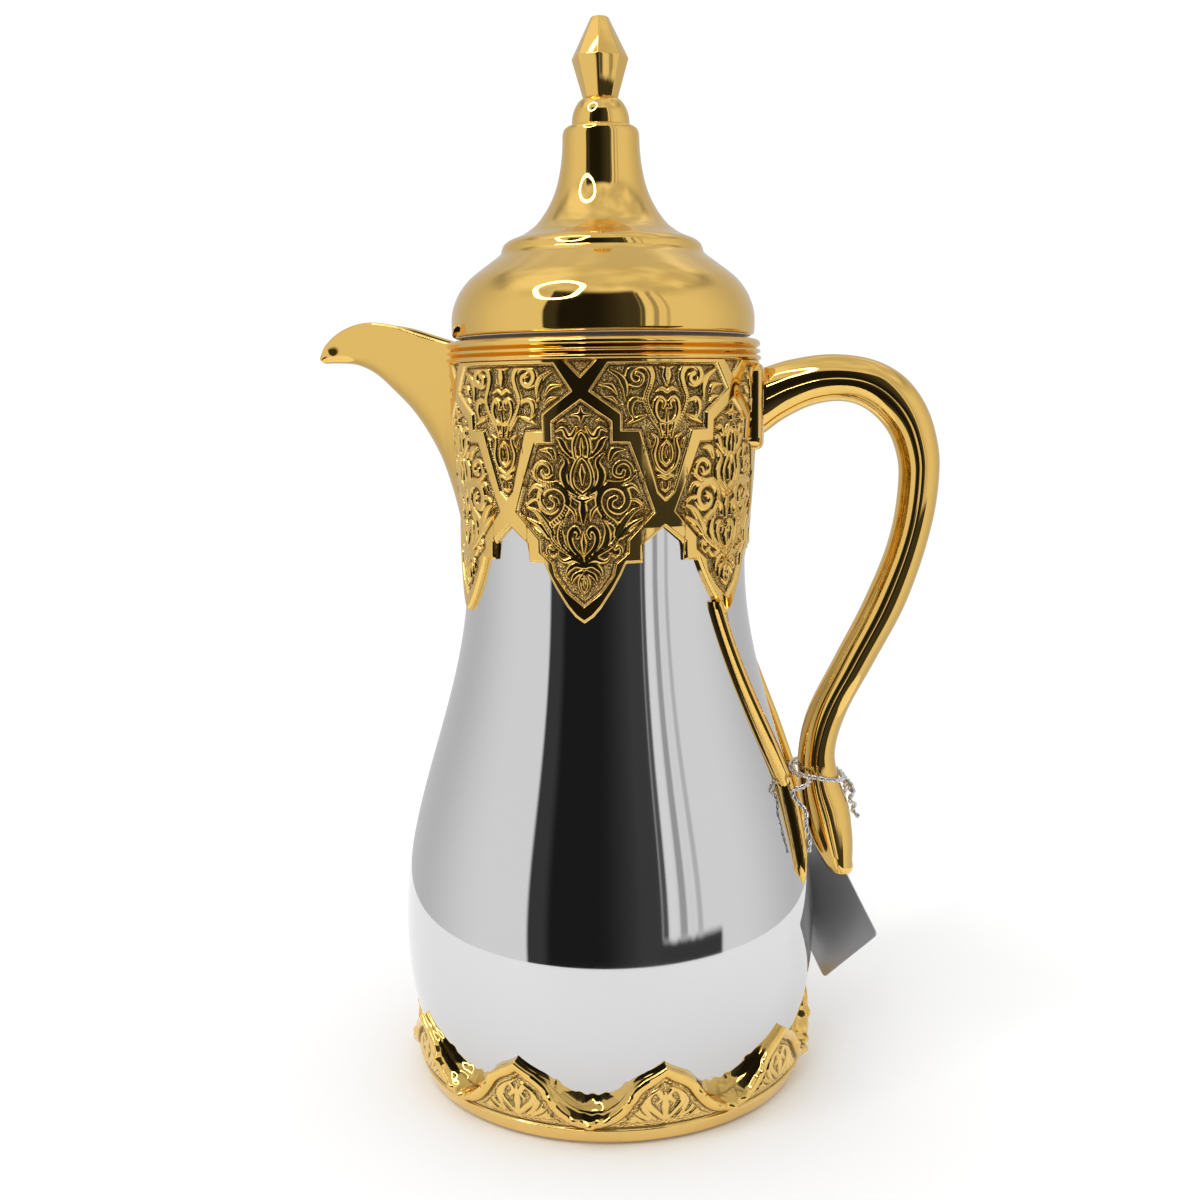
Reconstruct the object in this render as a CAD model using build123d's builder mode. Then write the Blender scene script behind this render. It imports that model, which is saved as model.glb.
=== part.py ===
"""Vacuum coffee pot of the dallah shape, in millimetres.

+Z is up and the pot stands on z = 0 with its axis on the Z axis.
The handle points along +X and the spout along -X.
"""

from build123d import *
from math import asin, cos, hypot, pi, radians, sin, sqrt
import os

os.makedirs("parts", exist_ok=True)

# ---------------------------------------------------------------- body
BELLY_RADIUS = 68.3
FOOT_TUCK = 10.8
NECK_RADIUS = 45.3
SHELL_BOTTOM = 3.0
BELLY_HEIGHT = 51.0
NECK_TOP = 238.0
NECK_LENGTH = 68.0
SHELL_WALL = 0.8
BASE_LEDGE = 11.5
FOOT_RADIUS = BELLY_RADIUS - FOOT_TUCK
NECK_START = NECK_TOP - NECK_LENGTH
PLUG_HOLE_RADIUS = FOOT_RADIUS - BASE_LEDGE

# ---------------------------------------------------------------- foot
PAD_THICKNESS = 2.0
PAD_OVERHANG = 1.9
PAD_CLEARANCE = 0.3
PLUG_FLANGE = 1.0
PLUG_DEPTH = 9.0
PLUG_WALL = 4.0
BASE_RING_BOTTOM = 0.5
BASE_RING_FOOT = 4.4
BASE_RING_SWELL = 3.9
LOBE_COUNT = 9
LOBE_TIP = 26.0
LOBE_VALLEY = 9.6
LOBE_ANGLE = 12.0
LOBE_PROUD = 1.1
PAD_RADIUS = FOOT_RADIUS + PAD_OVERHANG
BASE_RING_RADIUS = FOOT_RADIUS + BASE_RING_FOOT

# ---------------------------------------------------------------- glass liner
GLASS = 1.6
LINER_GAP = 3.0
VACUUM_GAP = 3.4
LINER_BOTTOM = 14.0
LINER_DROP = 34.0
MOUTH_LENGTH = 10.0
LINER_SHOULDER_RISE = 22.0
MOUTH_RADIUS = 21.0
MOUTH_GAP = 1.4
CUSHION_RADIUS = 34.0
CUSHION_HOLE = 14.0
GASKET_THICKNESS = 2.0
LINER_TOP = NECK_TOP - LINER_DROP
LINER_NECK = LINER_TOP - MOUTH_LENGTH
LINER_SHOULDER = LINER_NECK - LINER_SHOULDER_RISE

# ---------------------------------------------------------------- neck insert and port
INSERT_WALL = 4.0
INSERT_FLOOR = 3.0
FIT_CLEARANCE = 0.05
PORT_WIDTH = 18.0
PORT_HEIGHT = 15.0
PORT_DROP = 12.0
PORT_TOP = NECK_TOP - PORT_DROP
PORT_BOTTOM = PORT_TOP - PORT_HEIGHT

# ---------------------------------------------------------------- collar and skirt
COLLAR_LAP = 4.0
COLLAR_RISE = 3.0
COLLAR_WIDTH = 5.0
SKIRT_WALL = 1.9
SKIRT_FLARE = 2.6
PETAL_COUNT = 6
PETAL_LENGTH = 81.0
STEP_ABOVE_TIP = 17.7
SHOULDER_ABOVE_TIP = 23.0
VALLEY_ABOVE_TIP = 28.0
COLLAR_BOTTOM = NECK_TOP - COLLAR_LAP
COLLAR_TOP = NECK_TOP + COLLAR_RISE
COLLAR_RADIUS = NECK_RADIUS + COLLAR_WIDTH
PETAL_TIP = NECK_TOP - PETAL_LENGTH
SKIRT_VALLEY = PETAL_TIP + VALLEY_ABOVE_TIP

# ---------------------------------------------------------------- spout
SPOUT_LENGTH = 47.7
SPOUT_TIP_DROP = 1.0
SPOUT_ROOT_WIDTH = 32.0
SPOUT_TIP_WIDTH = 9.0
SPOUT_ROOT_DEPTH = 61.0
SPOUT_ROOT_RISE = 2.6
SPOUT_CREST_RISE = 8.8
SPOUT_WALL = 1.6
SPOUT_REACH = NECK_RADIUS + SPOUT_LENGTH
SPOUT_ROOT_LOW = NECK_TOP - SPOUT_ROOT_DEPTH
SPOUT_ROOT_HIGH = NECK_TOP + SPOUT_ROOT_RISE
SPOUT_CREST = NECK_TOP + SPOUT_CREST_RISE
SPOUT_TIP_HEIGHT = NECK_TOP - SPOUT_TIP_DROP

# ---------------------------------------------------------------- handle and stays
HANDLE_WIDTH = 15.0
HANDLE_ROUNDING = 0.44
HANDLE_SPAN = 61.1
HANDLE_DROP = 2.2
TAIL_HEIGHT = 104.0
TAIL_GAP = 3.5
TAIL_THICKNESS = 11.8
TAIL_LENGTH = 38.0
FLANGE_THICKNESS = 2.2
FLANGE_DROP = 4.4
FLANGE_HEIGHT = 27.6
FLANGE_WIDTH = 25.0
STUD_RADIUS = 2.0
STUD_REACH = 5.0
STUD_LOW_INSET = 11.5
STUD_HIGH_INSET = 6.6
STAY_RADIUS = 2.5
STAY_PROUD = 3.4
STAY_TOP_ANGLE = 35.0
STAY_WAIST_ANGLE = 11.8
STAY_FOOT_ANGLE = 14.5
STAY_WAIST_HEIGHT = 100.0
STAY_LOW = 70.0
STAY_LAP = 2.0
HANDLE_REACH = NECK_RADIUS + HANDLE_SPAN
HANDLE_CREST = NECK_TOP - HANDLE_DROP
TAIL_END = TAIL_HEIGHT - TAIL_LENGTH
FLANGE_HIGH = NECK_TOP - FLANGE_DROP
FLANGE_LOW = FLANGE_HIGH - FLANGE_HEIGHT
STUD_HEIGHTS = (FLANGE_LOW + STUD_LOW_INSET, FLANGE_HIGH - STUD_HIGH_INSET)
STAY_HIGH = PETAL_TIP + STAY_LAP

# ---------------------------------------------------------------- lid
BUTTON_RADIUS = 9.1
LID_OVERHANG = 2.9
LID_GAP = 1.2
LID_RISE = 64.8
LID_WALL_HEIGHT = 7.8
STEP_RADIUS = 31.6
STEP_RISE = 26.4
FLARE_INSET = 7.6
FLARE_RISE = 5.8
LIP_WIDTH = 3.0
LID_NECK_LENGTH = 7.0
LID_WALL = 1.2
LID_GASKET = 1.0
LID_FLANGE = 3.0
STOPPER_CLEARANCE = 0.4
STOPPER_FLOOR = 2.5
STOPPER_DEPTH = 12.0
STOPPER_WALL = 3.0
SNOUT_DEPTH = 6.0
SNOUT_WALL = 5.0
SEAL_WIDTH = 4.0
SEAL_THICKNESS = 2.5
LID_RIM_RADIUS = NECK_RADIUS + LID_OVERHANG
LID_BOTTOM = COLLAR_TOP + LID_GAP
LID_WALL_TOP = LID_BOTTOM + LID_WALL_HEIGHT
STEP_HEIGHT = LID_BOTTOM + STEP_RISE
FLARE_RADIUS = STEP_RADIUS - FLARE_INSET
FLARE_HEIGHT = STEP_HEIGHT + FLARE_RISE
LID_NECK_RADIUS = BUTTON_RADIUS + LIP_WIDTH
LID_TOP = LID_BOTTOM + LID_RISE
LID_NECK_BASE = LID_TOP - LID_NECK_LENGTH
STOPPER_BOTTOM = NECK_TOP - STOPPER_DEPTH
SNOUT_RADIUS = MOUTH_RADIUS - SEAL_WIDTH
SNOUT_BORE = SNOUT_RADIUS - SNOUT_WALL
SNOUT_BOTTOM = LINER_TOP - SNOUT_DEPTH

# ---------------------------------------------------------------- push button and valve
BUTTON_TRAVEL = 5.0
BUTTON_CLEARANCE = 0.35
BUTTON_SKIRT = 11.0
BUTTON_WALL = 1.2
DOME_HEIGHT = 8.6
FINIAL_FOOT_RADIUS = 5.6
FINIAL_RADIUS = 8.9
FINIAL_TAPER = 11.9
FINIAL_TOP_RADIUS = 2.8
FINIAL_HEIGHT = 24.4
FINIAL_SIDES = 8
GUIDE_WALL = 1.3
GUIDE_DEPTH = 23.0
GUIDE_FLOOR = 2.0
ROD_RADIUS = 2.0
ROD_CLEARANCE = 0.3
ROD_SEAL_FIT = 0.05
VALVE_THICKNESS = 3.0
VALVE_GAP = 1.0
VALVE_LAP = 2.5
SPRING_RADIUS = 5.0
SPRING_WIRE = 0.9
SPRING_TURNS = 5
SPRING_GAP = 0.15
GUIDE_BOTTOM = LID_TOP - GUIDE_DEPTH

# ---------------------------------------------------------------- wire and tag
WIRE_RADIUS = 0.55
WIRE_DROP = 2.0
WIRE_CLEARANCE = 0.15
WIRE_PIN = 2.4
TAG_WIDTH = 34.0
TAG_LENGTH = 46.0
TAG_THICKNESS = 0.5
TAG_HOLE = 1.4
TAG_HOLE_INSET = 3.0
TAG_LOW = 21.9
TAG_STANDOFF = 4.3
TAG_BACK = 17.4
WIRE_HEIGHT = TAIL_HEIGHT - WIRE_DROP


def body_radius(height):
    """Outside radius of the steel body: a cosine shoulder over a rounded belly."""
    if height >= NECK_START:
        return NECK_RADIUS
    if height >= BELLY_HEIGHT:
        turn = pi * (height - BELLY_HEIGHT) / (NECK_START - BELLY_HEIGHT)
        return (BELLY_RADIUS + NECK_RADIUS) / 2 + (BELLY_RADIUS - NECK_RADIUS) / 2 * cos(turn)
    drop = (BELLY_HEIGHT - height) / (BELLY_HEIGHT - SHELL_BOTTOM)
    return BELLY_RADIUS - (BELLY_RADIUS - FOOT_RADIUS) * drop**2.3


def wall_points(low, high, steps, outset=0.0):
    """Points up the body wall between two heights, moved outwards by outset."""
    heights = [low + (high - low) * step / steps for step in range(steps + 1)]
    return [(body_radius(height) + outset, height) for height in heights]


def skirt_radius(height):
    """Outside radius of the petal skirt, which flares from the body to the collar."""
    snug = body_radius(height) + SKIRT_WALL
    if height <= SKIRT_VALLEY:
        return snug
    rise = (height - SKIRT_VALLEY) / (COLLAR_BOTTOM - SKIRT_VALLEY)
    return snug + SKIRT_FLARE * sin(rise * pi / 2)


# ================================================================ body shell
with BuildPart() as body_shell:
    with BuildSketch(Plane.XZ):
        with BuildLine():
            outer = Spline(wall_points(SHELL_BOTTOM, NECK_START, 10), tangents=[(0.7, 1), (0, 1)])
            inner_low = SHELL_BOTTOM + SHELL_WALL
            inner = Spline(wall_points(inner_low, NECK_START, 10, -SHELL_WALL), tangents=[(0.7, 1), (0, 1)])
            Polyline(
                outer @ 1,
                (NECK_RADIUS, NECK_TOP),
                (NECK_RADIUS - SHELL_WALL, NECK_TOP),
                inner @ 1,
            )
            Polyline(inner @ 0, (PLUG_HOLE_RADIUS, inner_low), (PLUG_HOLE_RADIUS, SHELL_BOTTOM), outer @ 0)
        make_face()
    revolve()
    with Locations((-NECK_RADIUS, 0, (PORT_BOTTOM + PORT_TOP) / 2)):
        Box(10, PORT_WIDTH, PORT_TOP - PORT_BOTTOM, mode=Mode.SUBTRACT)
    for height in STUD_HEIGHTS:
        with Locations(Location((NECK_RADIUS, 0, height), (0, 90, 0))):
            Cylinder(STUD_RADIUS, 10, mode=Mode.SUBTRACT)

# the filled outline of the body, used to seat what lies on it
with BuildPart() as body_envelope:
    with BuildSketch(Plane.XZ):
        with BuildLine():
            outer = Spline(wall_points(SHELL_BOTTOM, NECK_START, 10), tangents=[(0.7, 1), (0, 1)])
            Polyline(outer @ 1, (NECK_RADIUS, NECK_TOP), (0, NECK_TOP), (0, SHELL_BOTTOM), outer @ 0)
        make_face()
    revolve()

# ================================================================ foot
with BuildPart() as foot_pad:
    with Locations((0, 0, PAD_THICKNESS / 2)):
        Cylinder(PAD_RADIUS, PAD_THICKNESS)
    chamfer(foot_pad.edges().group_by(Axis.Z)[0], 0.4)

plug_flange_radius = FOOT_RADIUS - 1.5
with BuildPart() as base_plug:
    with BuildSketch(Plane.XY.offset(PAD_THICKNESS)):
        Circle(plug_flange_radius)
    extrude(amount=SHELL_BOTTOM - PAD_THICKNESS)
    with BuildSketch(Plane.XY.offset(SHELL_BOTTOM)):
        Circle(PLUG_HOLE_RADIUS - FIT_CLEARANCE)
    extrude(amount=PLUG_DEPTH)
    plug_floor = SHELL_BOTTOM + PLUG_FLANGE
    with BuildSketch(Plane.XY.offset(plug_floor)):
        Circle(PLUG_HOLE_RADIUS - PLUG_WALL)
    extrude(amount=PLUG_DEPTH, mode=Mode.SUBTRACT)
    # two finger slots for turning the plug out
    with BuildSketch(Plane.XY.offset(PAD_THICKNESS)):
        with Locations((0, 22), (0, -22)):
            SlotOverall(22, 6)
    extrude(amount=1.0, mode=Mode.SUBTRACT)


def ring_points(steps, outset=0.0):
    """Outside of the base ring: a rolled foot that runs up into the thin lobes."""
    points = []
    for step in range(steps + 1):
        height = BASE_RING_BOTTOM + (LOBE_TIP - BASE_RING_BOTTOM) * step / steps
        rolled = BASE_RING_RADIUS + BASE_RING_SWELL * sin(min(height / 14.0, 1.0) * pi / 2)
        points.append((max(rolled, body_radius(max(height, SHELL_BOTTOM)) + LOBE_PROUD) + outset, height))
    return points


ring_tip_radius = ring_points(6)[-1][0]
with BuildPart() as base_ring:
    with BuildSketch(Plane.XZ):
        with BuildLine():
            outer = Spline(ring_points(6))
            inner = Spline(wall_points(SHELL_BOTTOM, LOBE_TIP, 5, FIT_CLEARANCE))
            Line(outer @ 1, inner @ 1)
            Polyline(
                inner @ 0,
                (PAD_RADIUS + PAD_CLEARANCE, SHELL_BOTTOM),
                (PAD_RADIUS + PAD_CLEARANCE, BASE_RING_BOTTOM),
                outer @ 0,
            )
        make_face()
    revolve()
    add(body_envelope.part, mode=Mode.SUBTRACT)
    # the body is seen in the valleys between the ogee lobes
    half_pitch = ring_tip_radius * sin(pi / LOBE_COUNT)
    lobe_rise = LOBE_TIP - LOBE_VALLEY
    for lobe in range(LOBE_COUNT):
        valley_angle = LOBE_ANGLE + (lobe + 0.5) * 360 / LOBE_COUNT
        facing = Plane.YZ.rotated((0, 0, valley_angle))
        with BuildSketch(facing):
            with BuildLine():
                left_side = Spline(
                    (-half_pitch, LOBE_TIP),
                    (-half_pitch * 0.62, LOBE_VALLEY + lobe_rise * 0.74),
                    (-half_pitch * 0.26, LOBE_VALLEY + lobe_rise * 0.18),
                    (0, LOBE_VALLEY),
                )
                mirror(left_side, about=Plane.YZ)
                Polyline(
                    (-half_pitch, LOBE_TIP),
                    (-half_pitch, LOBE_TIP + 4),
                    (half_pitch, LOBE_TIP + 4),
                    (half_pitch, LOBE_TIP),
                )
            make_face()
        extrude(amount=BELLY_RADIUS * 1.3, mode=Mode.SUBTRACT)

# ================================================================ glass liner


def liner_surface(inset, neck_radius):
    """Half outline of one glass surface, from the axis at the bottom to the mouth."""
    low = BELLY_HEIGHT - 15
    high = LINER_SHOULDER - inset * 0.6
    neck = LINER_NECK - inset * 0.4
    side_points = wall_points(low, high, 8, -SHELL_WALL - LINER_GAP - inset)
    low_radius = side_points[0][0]
    high_radius = side_points[-1][0]
    bottom = LINER_BOTTOM + inset
    rise = low - bottom
    dome_radius = (low_radius**2 + rise**2) / (2 * rise)
    half_turn = asin(low_radius / dome_radius) / 2
    dome_middle = (dome_radius * sin(half_turn), bottom + dome_radius * (1 - cos(half_turn)))
    dome = ThreePointArc((0, bottom), dome_middle, (low_radius, low))
    Spline(side_points)
    shoulder_middle = ((high_radius + neck_radius) / 2 + 2.5, (high + neck) / 2 + 2.5)
    shoulder = ThreePointArc((high_radius, high), shoulder_middle, (neck_radius, neck))
    return dome @ 0, shoulder @ 1


def liner_section(inset, neck_radius, top):
    """Closed half section of a glass vessel whose outside is inset from the liner's."""
    with BuildSketch(Plane.XZ) as section:
        with BuildLine():
            outer_low, outer_high = liner_surface(inset, neck_radius)
            inner_low, inner_high = liner_surface(inset + GLASS, neck_radius - GLASS)
            Polyline(outer_high, (neck_radius, top), (neck_radius - GLASS, top), inner_high)
            Line(inner_low, outer_low)
        make_face()
    return section.sketch


outer_mouth = MOUTH_RADIUS + 2 * GLASS + MOUTH_GAP
with BuildPart() as liner_outer:
    revolve(liner_section(0, outer_mouth, LINER_TOP - GLASS))

with BuildPart() as liner_inner:
    revolve(liner_section(GLASS + VACUUM_GAP, MOUTH_RADIUS + GLASS, LINER_TOP))
    # the fused rim closes the vacuum space
    with BuildSketch(Plane.XY.offset(LINER_TOP - GLASS)):
        Circle(outer_mouth)
        Circle(MOUTH_RADIUS, mode=Mode.SUBTRACT)
    extrude(amount=GLASS)

# the filled outline of the liner, which shapes the cushion under it
with BuildPart() as liner_envelope:
    with BuildSketch(Plane.XZ) as envelope_section:
        with BuildLine():
            low, high = liner_surface(0, outer_mouth)
            Polyline(high, (0, LINER_NECK), low)
        make_face()
    revolve()

with BuildPart() as liner_cushion:
    with BuildSketch(Plane.XY.offset(plug_floor)):
        Circle(CUSHION_RADIUS)
        Circle(CUSHION_HOLE, mode=Mode.SUBTRACT)
    extrude(amount=LINER_BOTTOM + 6 - plug_floor)
    add(liner_envelope.part, mode=Mode.SUBTRACT)

# ================================================================ neck insert
insert_outer = NECK_RADIUS - SHELL_WALL - FIT_CLEARANCE
insert_bore = insert_outer - INSERT_WALL
insert_bottom = LINER_TOP + GASKET_THICKNESS
insert_floor_top = insert_bottom + INSERT_FLOOR
mouth_hole = MOUTH_RADIUS + 0.5

with BuildPart() as neck_gasket:
    with BuildSketch(Plane.XY.offset(LINER_TOP)):
        Circle(outer_mouth + 1.5)
        Circle(mouth_hole, mode=Mode.SUBTRACT)
    extrude(amount=GASKET_THICKNESS)

with BuildPart() as neck_insert:
    with BuildSketch(Plane.XY.offset(insert_bottom)):
        Circle(insert_outer)
        Circle(mouth_hole, mode=Mode.SUBTRACT)
    extrude(amount=INSERT_FLOOR)
    with BuildSketch(Plane.XY.offset(insert_floor_top)):
        Circle(insert_outer)
        Circle(insert_bore, mode=Mode.SUBTRACT)
    extrude(amount=NECK_TOP - insert_floor_top)
    with Locations((-NECK_RADIUS, 0, (PORT_BOTTOM + PORT_TOP) / 2)):
        Box(24, PORT_WIDTH, PORT_TOP - PORT_BOTTOM, mode=Mode.SUBTRACT)
    for height in STUD_HEIGHTS:
        with Locations(Location((NECK_RADIUS, 0, height), (0, 90, 0))):
            Cylinder(STUD_RADIUS, 24, mode=Mode.SUBTRACT)

# ================================================================ collar
with BuildPart() as collar_ring:
    bead = (COLLAR_TOP - COLLAR_BOTTOM) * 0.26
    groove = 0.35
    with BuildSketch(Plane.XZ):
        with BuildLine():
            low = Line((NECK_RADIUS + FIT_CLEARANCE, COLLAR_BOTTOM), (COLLAR_RADIUS - 0.9, COLLAR_BOTTOM))
            end = low @ 1
            for number in range(2):
                top = COLLAR_BOTTOM + (number + 1) * bead + number * groove
                radius = COLLAR_RADIUS - 0.9 - 0.25 * number
                round_edge = ThreePointArc(end, (radius + 0.8, top - bead / 2), (radius, top))
                step = Line(round_edge @ 1, (radius - 0.25, top + groove))
                end = step @ 1
            crown_middle = (COLLAR_RADIUS - 0.6, COLLAR_TOP - 1.7)
            crown = ThreePointArc(end, crown_middle, (COLLAR_RADIUS - 2.6, COLLAR_TOP))
            Polyline(
                crown @ 1,
                (insert_bore, COLLAR_TOP),
                (insert_bore, NECK_TOP),
                (NECK_RADIUS + FIT_CLEARANCE, NECK_TOP),
                low @ 0,
            )
        make_face()
    revolve()

# ================================================================ spout
spout_shelf = COLLAR_RADIUS + 0.1


def spout_sections(inset):
    """Trough sections from the body to the tip; inset shrinks them for the channel."""
    sections = []
    root = (-NECK_RADIUS * 0.86, SPOUT_ROOT_HIGH)
    crest = (-SPOUT_REACH * 0.8, SPOUT_CREST)
    tip_top = (-SPOUT_REACH, SPOUT_TIP_HEIGHT + 1.5)
    rim = Spline(root, (-COLLAR_RADIUS * 1.02, SPOUT_ROOT_HIGH + 0.3), crest, tip_top)
    keel = Spline(
        (-NECK_RADIUS * 0.86, SPOUT_ROOT_LOW - 8),
        (-NECK_RADIUS * 1.07, SPOUT_ROOT_LOW + 15),
        (-SPOUT_REACH * 0.66, SPOUT_ROOT_HIGH - 22),
        (-SPOUT_REACH * 0.97, SPOUT_TIP_HEIGHT - 2.2),
    )
    for station in range(7):
        along = station / 6
        high = rim @ along
        low = keel @ along
        depth = hypot(high.X - low.X, high.Y - low.Y)
        width = SPOUT_ROOT_WIDTH + (SPOUT_TIP_WIDTH - SPOUT_ROOT_WIDTH) * along**0.8
        half = width / 2 - inset
        bottom = depth - inset * 1.3
        down = Vector(low.X - high.X, 0, low.Y - high.Y)
        cut = Plane(origin=(high.X, 0, high.Y), x_dir=(0, 1, 0), z_dir=Vector(0, 1, 0).cross(down))
        lift = inset * 3
        with BuildSketch(cut) as section:
            with BuildLine():
                if lift:
                    Polyline((-half, 0), (-half, -lift), (half, -lift), (half, 0))
                else:
                    Line((-half, 0), (half, 0))
                Spline((-half, 0), (-half * 0.82, bottom * 0.45), (0, bottom), tangents=[(0, 1), (1, 0)])
                Spline((half, 0), (half * 0.82, bottom * 0.45), (0, bottom), tangents=[(0, 1), (-1, 0)])
            make_face()
        sections.append(section.sketch)
    return sections


with BuildPart() as spout_channel:
    loft(spout_sections(SPOUT_WALL))

with BuildPart() as spout_solid:
    loft(spout_sections(0))
    # seated on the neck and outside the collar
    with BuildSketch(Plane.XY.offset(SPOUT_ROOT_LOW - 30)):
        Circle(NECK_RADIUS + FIT_CLEARANCE)
    extrude(amount=120, mode=Mode.SUBTRACT)
    with BuildSketch(Plane.XY.offset(COLLAR_BOTTOM - 0.1)):
        Circle(spout_shelf)
    extrude(amount=40, mode=Mode.SUBTRACT)
    add(body_envelope.part, mode=Mode.SUBTRACT)

with BuildPart() as spout:
    add(spout_solid.part)
    add(spout_channel.part, mode=Mode.SUBTRACT)

# ================================================================ petal skirt
petal_low = PETAL_TIP - 0.5
skirt_tip_radius = skirt_radius(PETAL_TIP)
half_valley = skirt_tip_radius * sin(pi / PETAL_COUNT)
with BuildPart() as petal_skirt:
    with BuildSketch(Plane.XZ):
        with BuildLine():
            heights = [petal_low + (COLLAR_BOTTOM - petal_low) * step / 10 for step in range(11)]
            outer = Spline([(skirt_radius(height), height) for height in heights])
            inner = Spline([(body_radius(height) + FIT_CLEARANCE, height) for height in heights[:4]])
            Line(outer @ 0, inner @ 0)
            Polyline(
                inner @ 1,
                (NECK_RADIUS + FIT_CLEARANCE, SKIRT_VALLEY + 4),
                (skirt_radius(COLLAR_BOTTOM) - SKIRT_WALL, COLLAR_BOTTOM - 14),
                (skirt_radius(COLLAR_BOTTOM) - SKIRT_WALL, COLLAR_BOTTOM - 3),
                (NECK_RADIUS + FIT_CLEARANCE, COLLAR_BOTTOM - 3),
                (NECK_RADIUS + FIT_CLEARANCE, COLLAR_BOTTOM),
                outer @ 1,
            )
        make_face()
    revolve()
    # stepped valleys between the pointed petals
    for petal in range(PETAL_COUNT):
        with BuildSketch(Plane.YZ.rotated((0, 0, petal * 360 / PETAL_COUNT))):
            with BuildLine():
                tip = (half_valley, PETAL_TIP - 4)
                step_height = PETAL_TIP + STEP_ABOVE_TIP
                foot = (half_valley * 0.52, step_height)
                side = Spline(tip, (half_valley * 0.73, PETAL_TIP + 8), foot)
                steps = Polyline(
                    side @ 1,
                    (half_valley * 0.32, step_height),
                    (half_valley * 0.32, PETAL_TIP + SHOULDER_ABOVE_TIP),
                    (0, SKIRT_VALLEY),
                )
                mirror(side, about=Plane.YZ)
                mirror(steps, about=Plane.YZ)
                Line(tip, (-tip[0], tip[1]))
            make_face()
        extrude(amount=BELLY_RADIUS, mode=Mode.SUBTRACT)
    add(spout_solid.part, mode=Mode.SUBTRACT)
    add(spout_channel.part, mode=Mode.SUBTRACT)
    for height in STUD_HEIGHTS:
        with Locations(Location((NECK_RADIUS, 0, height), (0, 90, 0))):
            Cylinder(STUD_RADIUS, 24, mode=Mode.SUBTRACT)

# ================================================================ handle
root_face = skirt_radius(FLANGE_LOW) + FLANGE_THICKNESS
tail_inside = body_radius(TAIL_HEIGHT) + TAIL_GAP
tail_outside = tail_inside + TAIL_THICKNESS
span = HANDLE_REACH - root_face


def handle_edge(side):
    """Points along the handle from root to tail; side is 0 inside, 1 outside, 0.5 between."""
    fall = HANDLE_CREST - TAIL_HEIGHT
    outside = [
        (root_face, FLANGE_HIGH - 1.4),
        (root_face + span * 0.38, HANDLE_CREST),
        (root_face + span * 0.76, HANDLE_CREST - 6),
        (HANDLE_REACH, HANDLE_CREST - fall * 0.266),
        (HANDLE_REACH - 9.4, HANDLE_CREST - fall * 0.592),
        (tail_outside + 7.2, TAIL_HEIGHT + fall * 0.182),
        (tail_outside, TAIL_HEIGHT + 1),
        (tail_outside + 5.9, TAIL_HEIGHT - TAIL_LENGTH * 0.71),
    ]
    inside = [
        (root_face, FLANGE_LOW + 3),
        (root_face + span * 0.30, HANDLE_CREST - 16),
        (root_face + span * 0.58, HANDLE_CREST - 16),
        (HANDLE_REACH - 12.8, HANDLE_CREST - fall * 0.2845),
        (HANDLE_REACH - 23, HANDLE_CREST - fall * 0.592),
        (tail_inside + 5.7, TAIL_HEIGHT + fall * 0.182),
        (tail_inside, TAIL_HEIGHT),
        (tail_inside + 3.8, TAIL_HEIGHT - TAIL_LENGTH * 0.632),
    ]
    return [
        (out[0] * side + within[0] * (1 - side), out[1] * side + within[1] * (1 - side))
        for out, within in zip(outside, inside)
    ]


def handle_sections(count):
    """Oval sections between the inside and outside edges, closing to a rounded tail."""
    outside = Spline([(x, 0, z) for x, z in handle_edge(1)], mode=Mode.PRIVATE)
    inside = Spline([(x, 0, z) for x, z in handle_edge(0)], mode=Mode.PRIVATE)
    sections = []
    for station in range(count + 1):
        out = outside @ (station / count)
        within = inside @ (station / count)
        across = Vector(out.X - within.X, 0, out.Z - within.Z)
        middle = (out + within) / 2
        sections.append((middle, across, across.length, HANDLE_WIDTH))
    tip = Vector(tail_outside + 3.2, 0, TAIL_END)
    last, across, thickness, width = sections[-1]
    for share in (0.4, 0.75, 0.97):
        shrink = sqrt(1 - share**2)
        sections.append((last + (tip - last) * share, across, thickness * shrink, width * shrink))
    faces = []
    for middle, across, thickness, width in sections:
        cut = Plane(origin=middle, x_dir=across.normalized(), z_dir=across.cross(Vector(0, 1, 0)))
        with BuildSketch(cut) as section:
            RectangleRounded(thickness, width, HANDLE_ROUNDING * min(thickness, width))
        faces.append(section.sketch)
    return faces


with BuildPart() as handle_solid:
    loft(handle_sections(12))
    for height in STUD_HEIGHTS:
        with Locations(Location((root_face, 0, height), (0, 90, 0))):
            Cylinder(STUD_RADIUS, 2 * STUD_REACH, mode=Mode.SUBTRACT)

with BuildPart() as outer_region:
    with BuildSketch(Plane.XZ):
        with BuildLine():
            middle = Spline(handle_edge(0.5))
            far = HANDLE_REACH + 30
            Polyline(
                middle @ 1,
                (tail_outside - 1, TAIL_END - 9),
                (far, TAIL_END - 9),
                (far, HANDLE_CREST + 20),
                (root_face, HANDLE_CREST + 20),
                middle @ 0,
            )
        make_face()
    extrude(amount=HANDLE_WIDTH, both=True)

with BuildPart() as handle_back:
    add(handle_solid.part)
    add(outer_region.part, mode=Mode.INTERSECT)

with BuildPart() as handle_belly:
    add(handle_solid.part)
    add(outer_region.part, mode=Mode.SUBTRACT)

with BuildPart() as skirt_core:
    with BuildSketch(Plane.XZ):
        with BuildLine():
            heights = [petal_low + (COLLAR_BOTTOM - petal_low) * step / 10 for step in range(11)]
            outer = Spline([(skirt_radius(height), height) for height in heights])
            Polyline(outer @ 1, (0, COLLAR_BOTTOM), (0, petal_low), outer @ 0)
        make_face()
    revolve()

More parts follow.
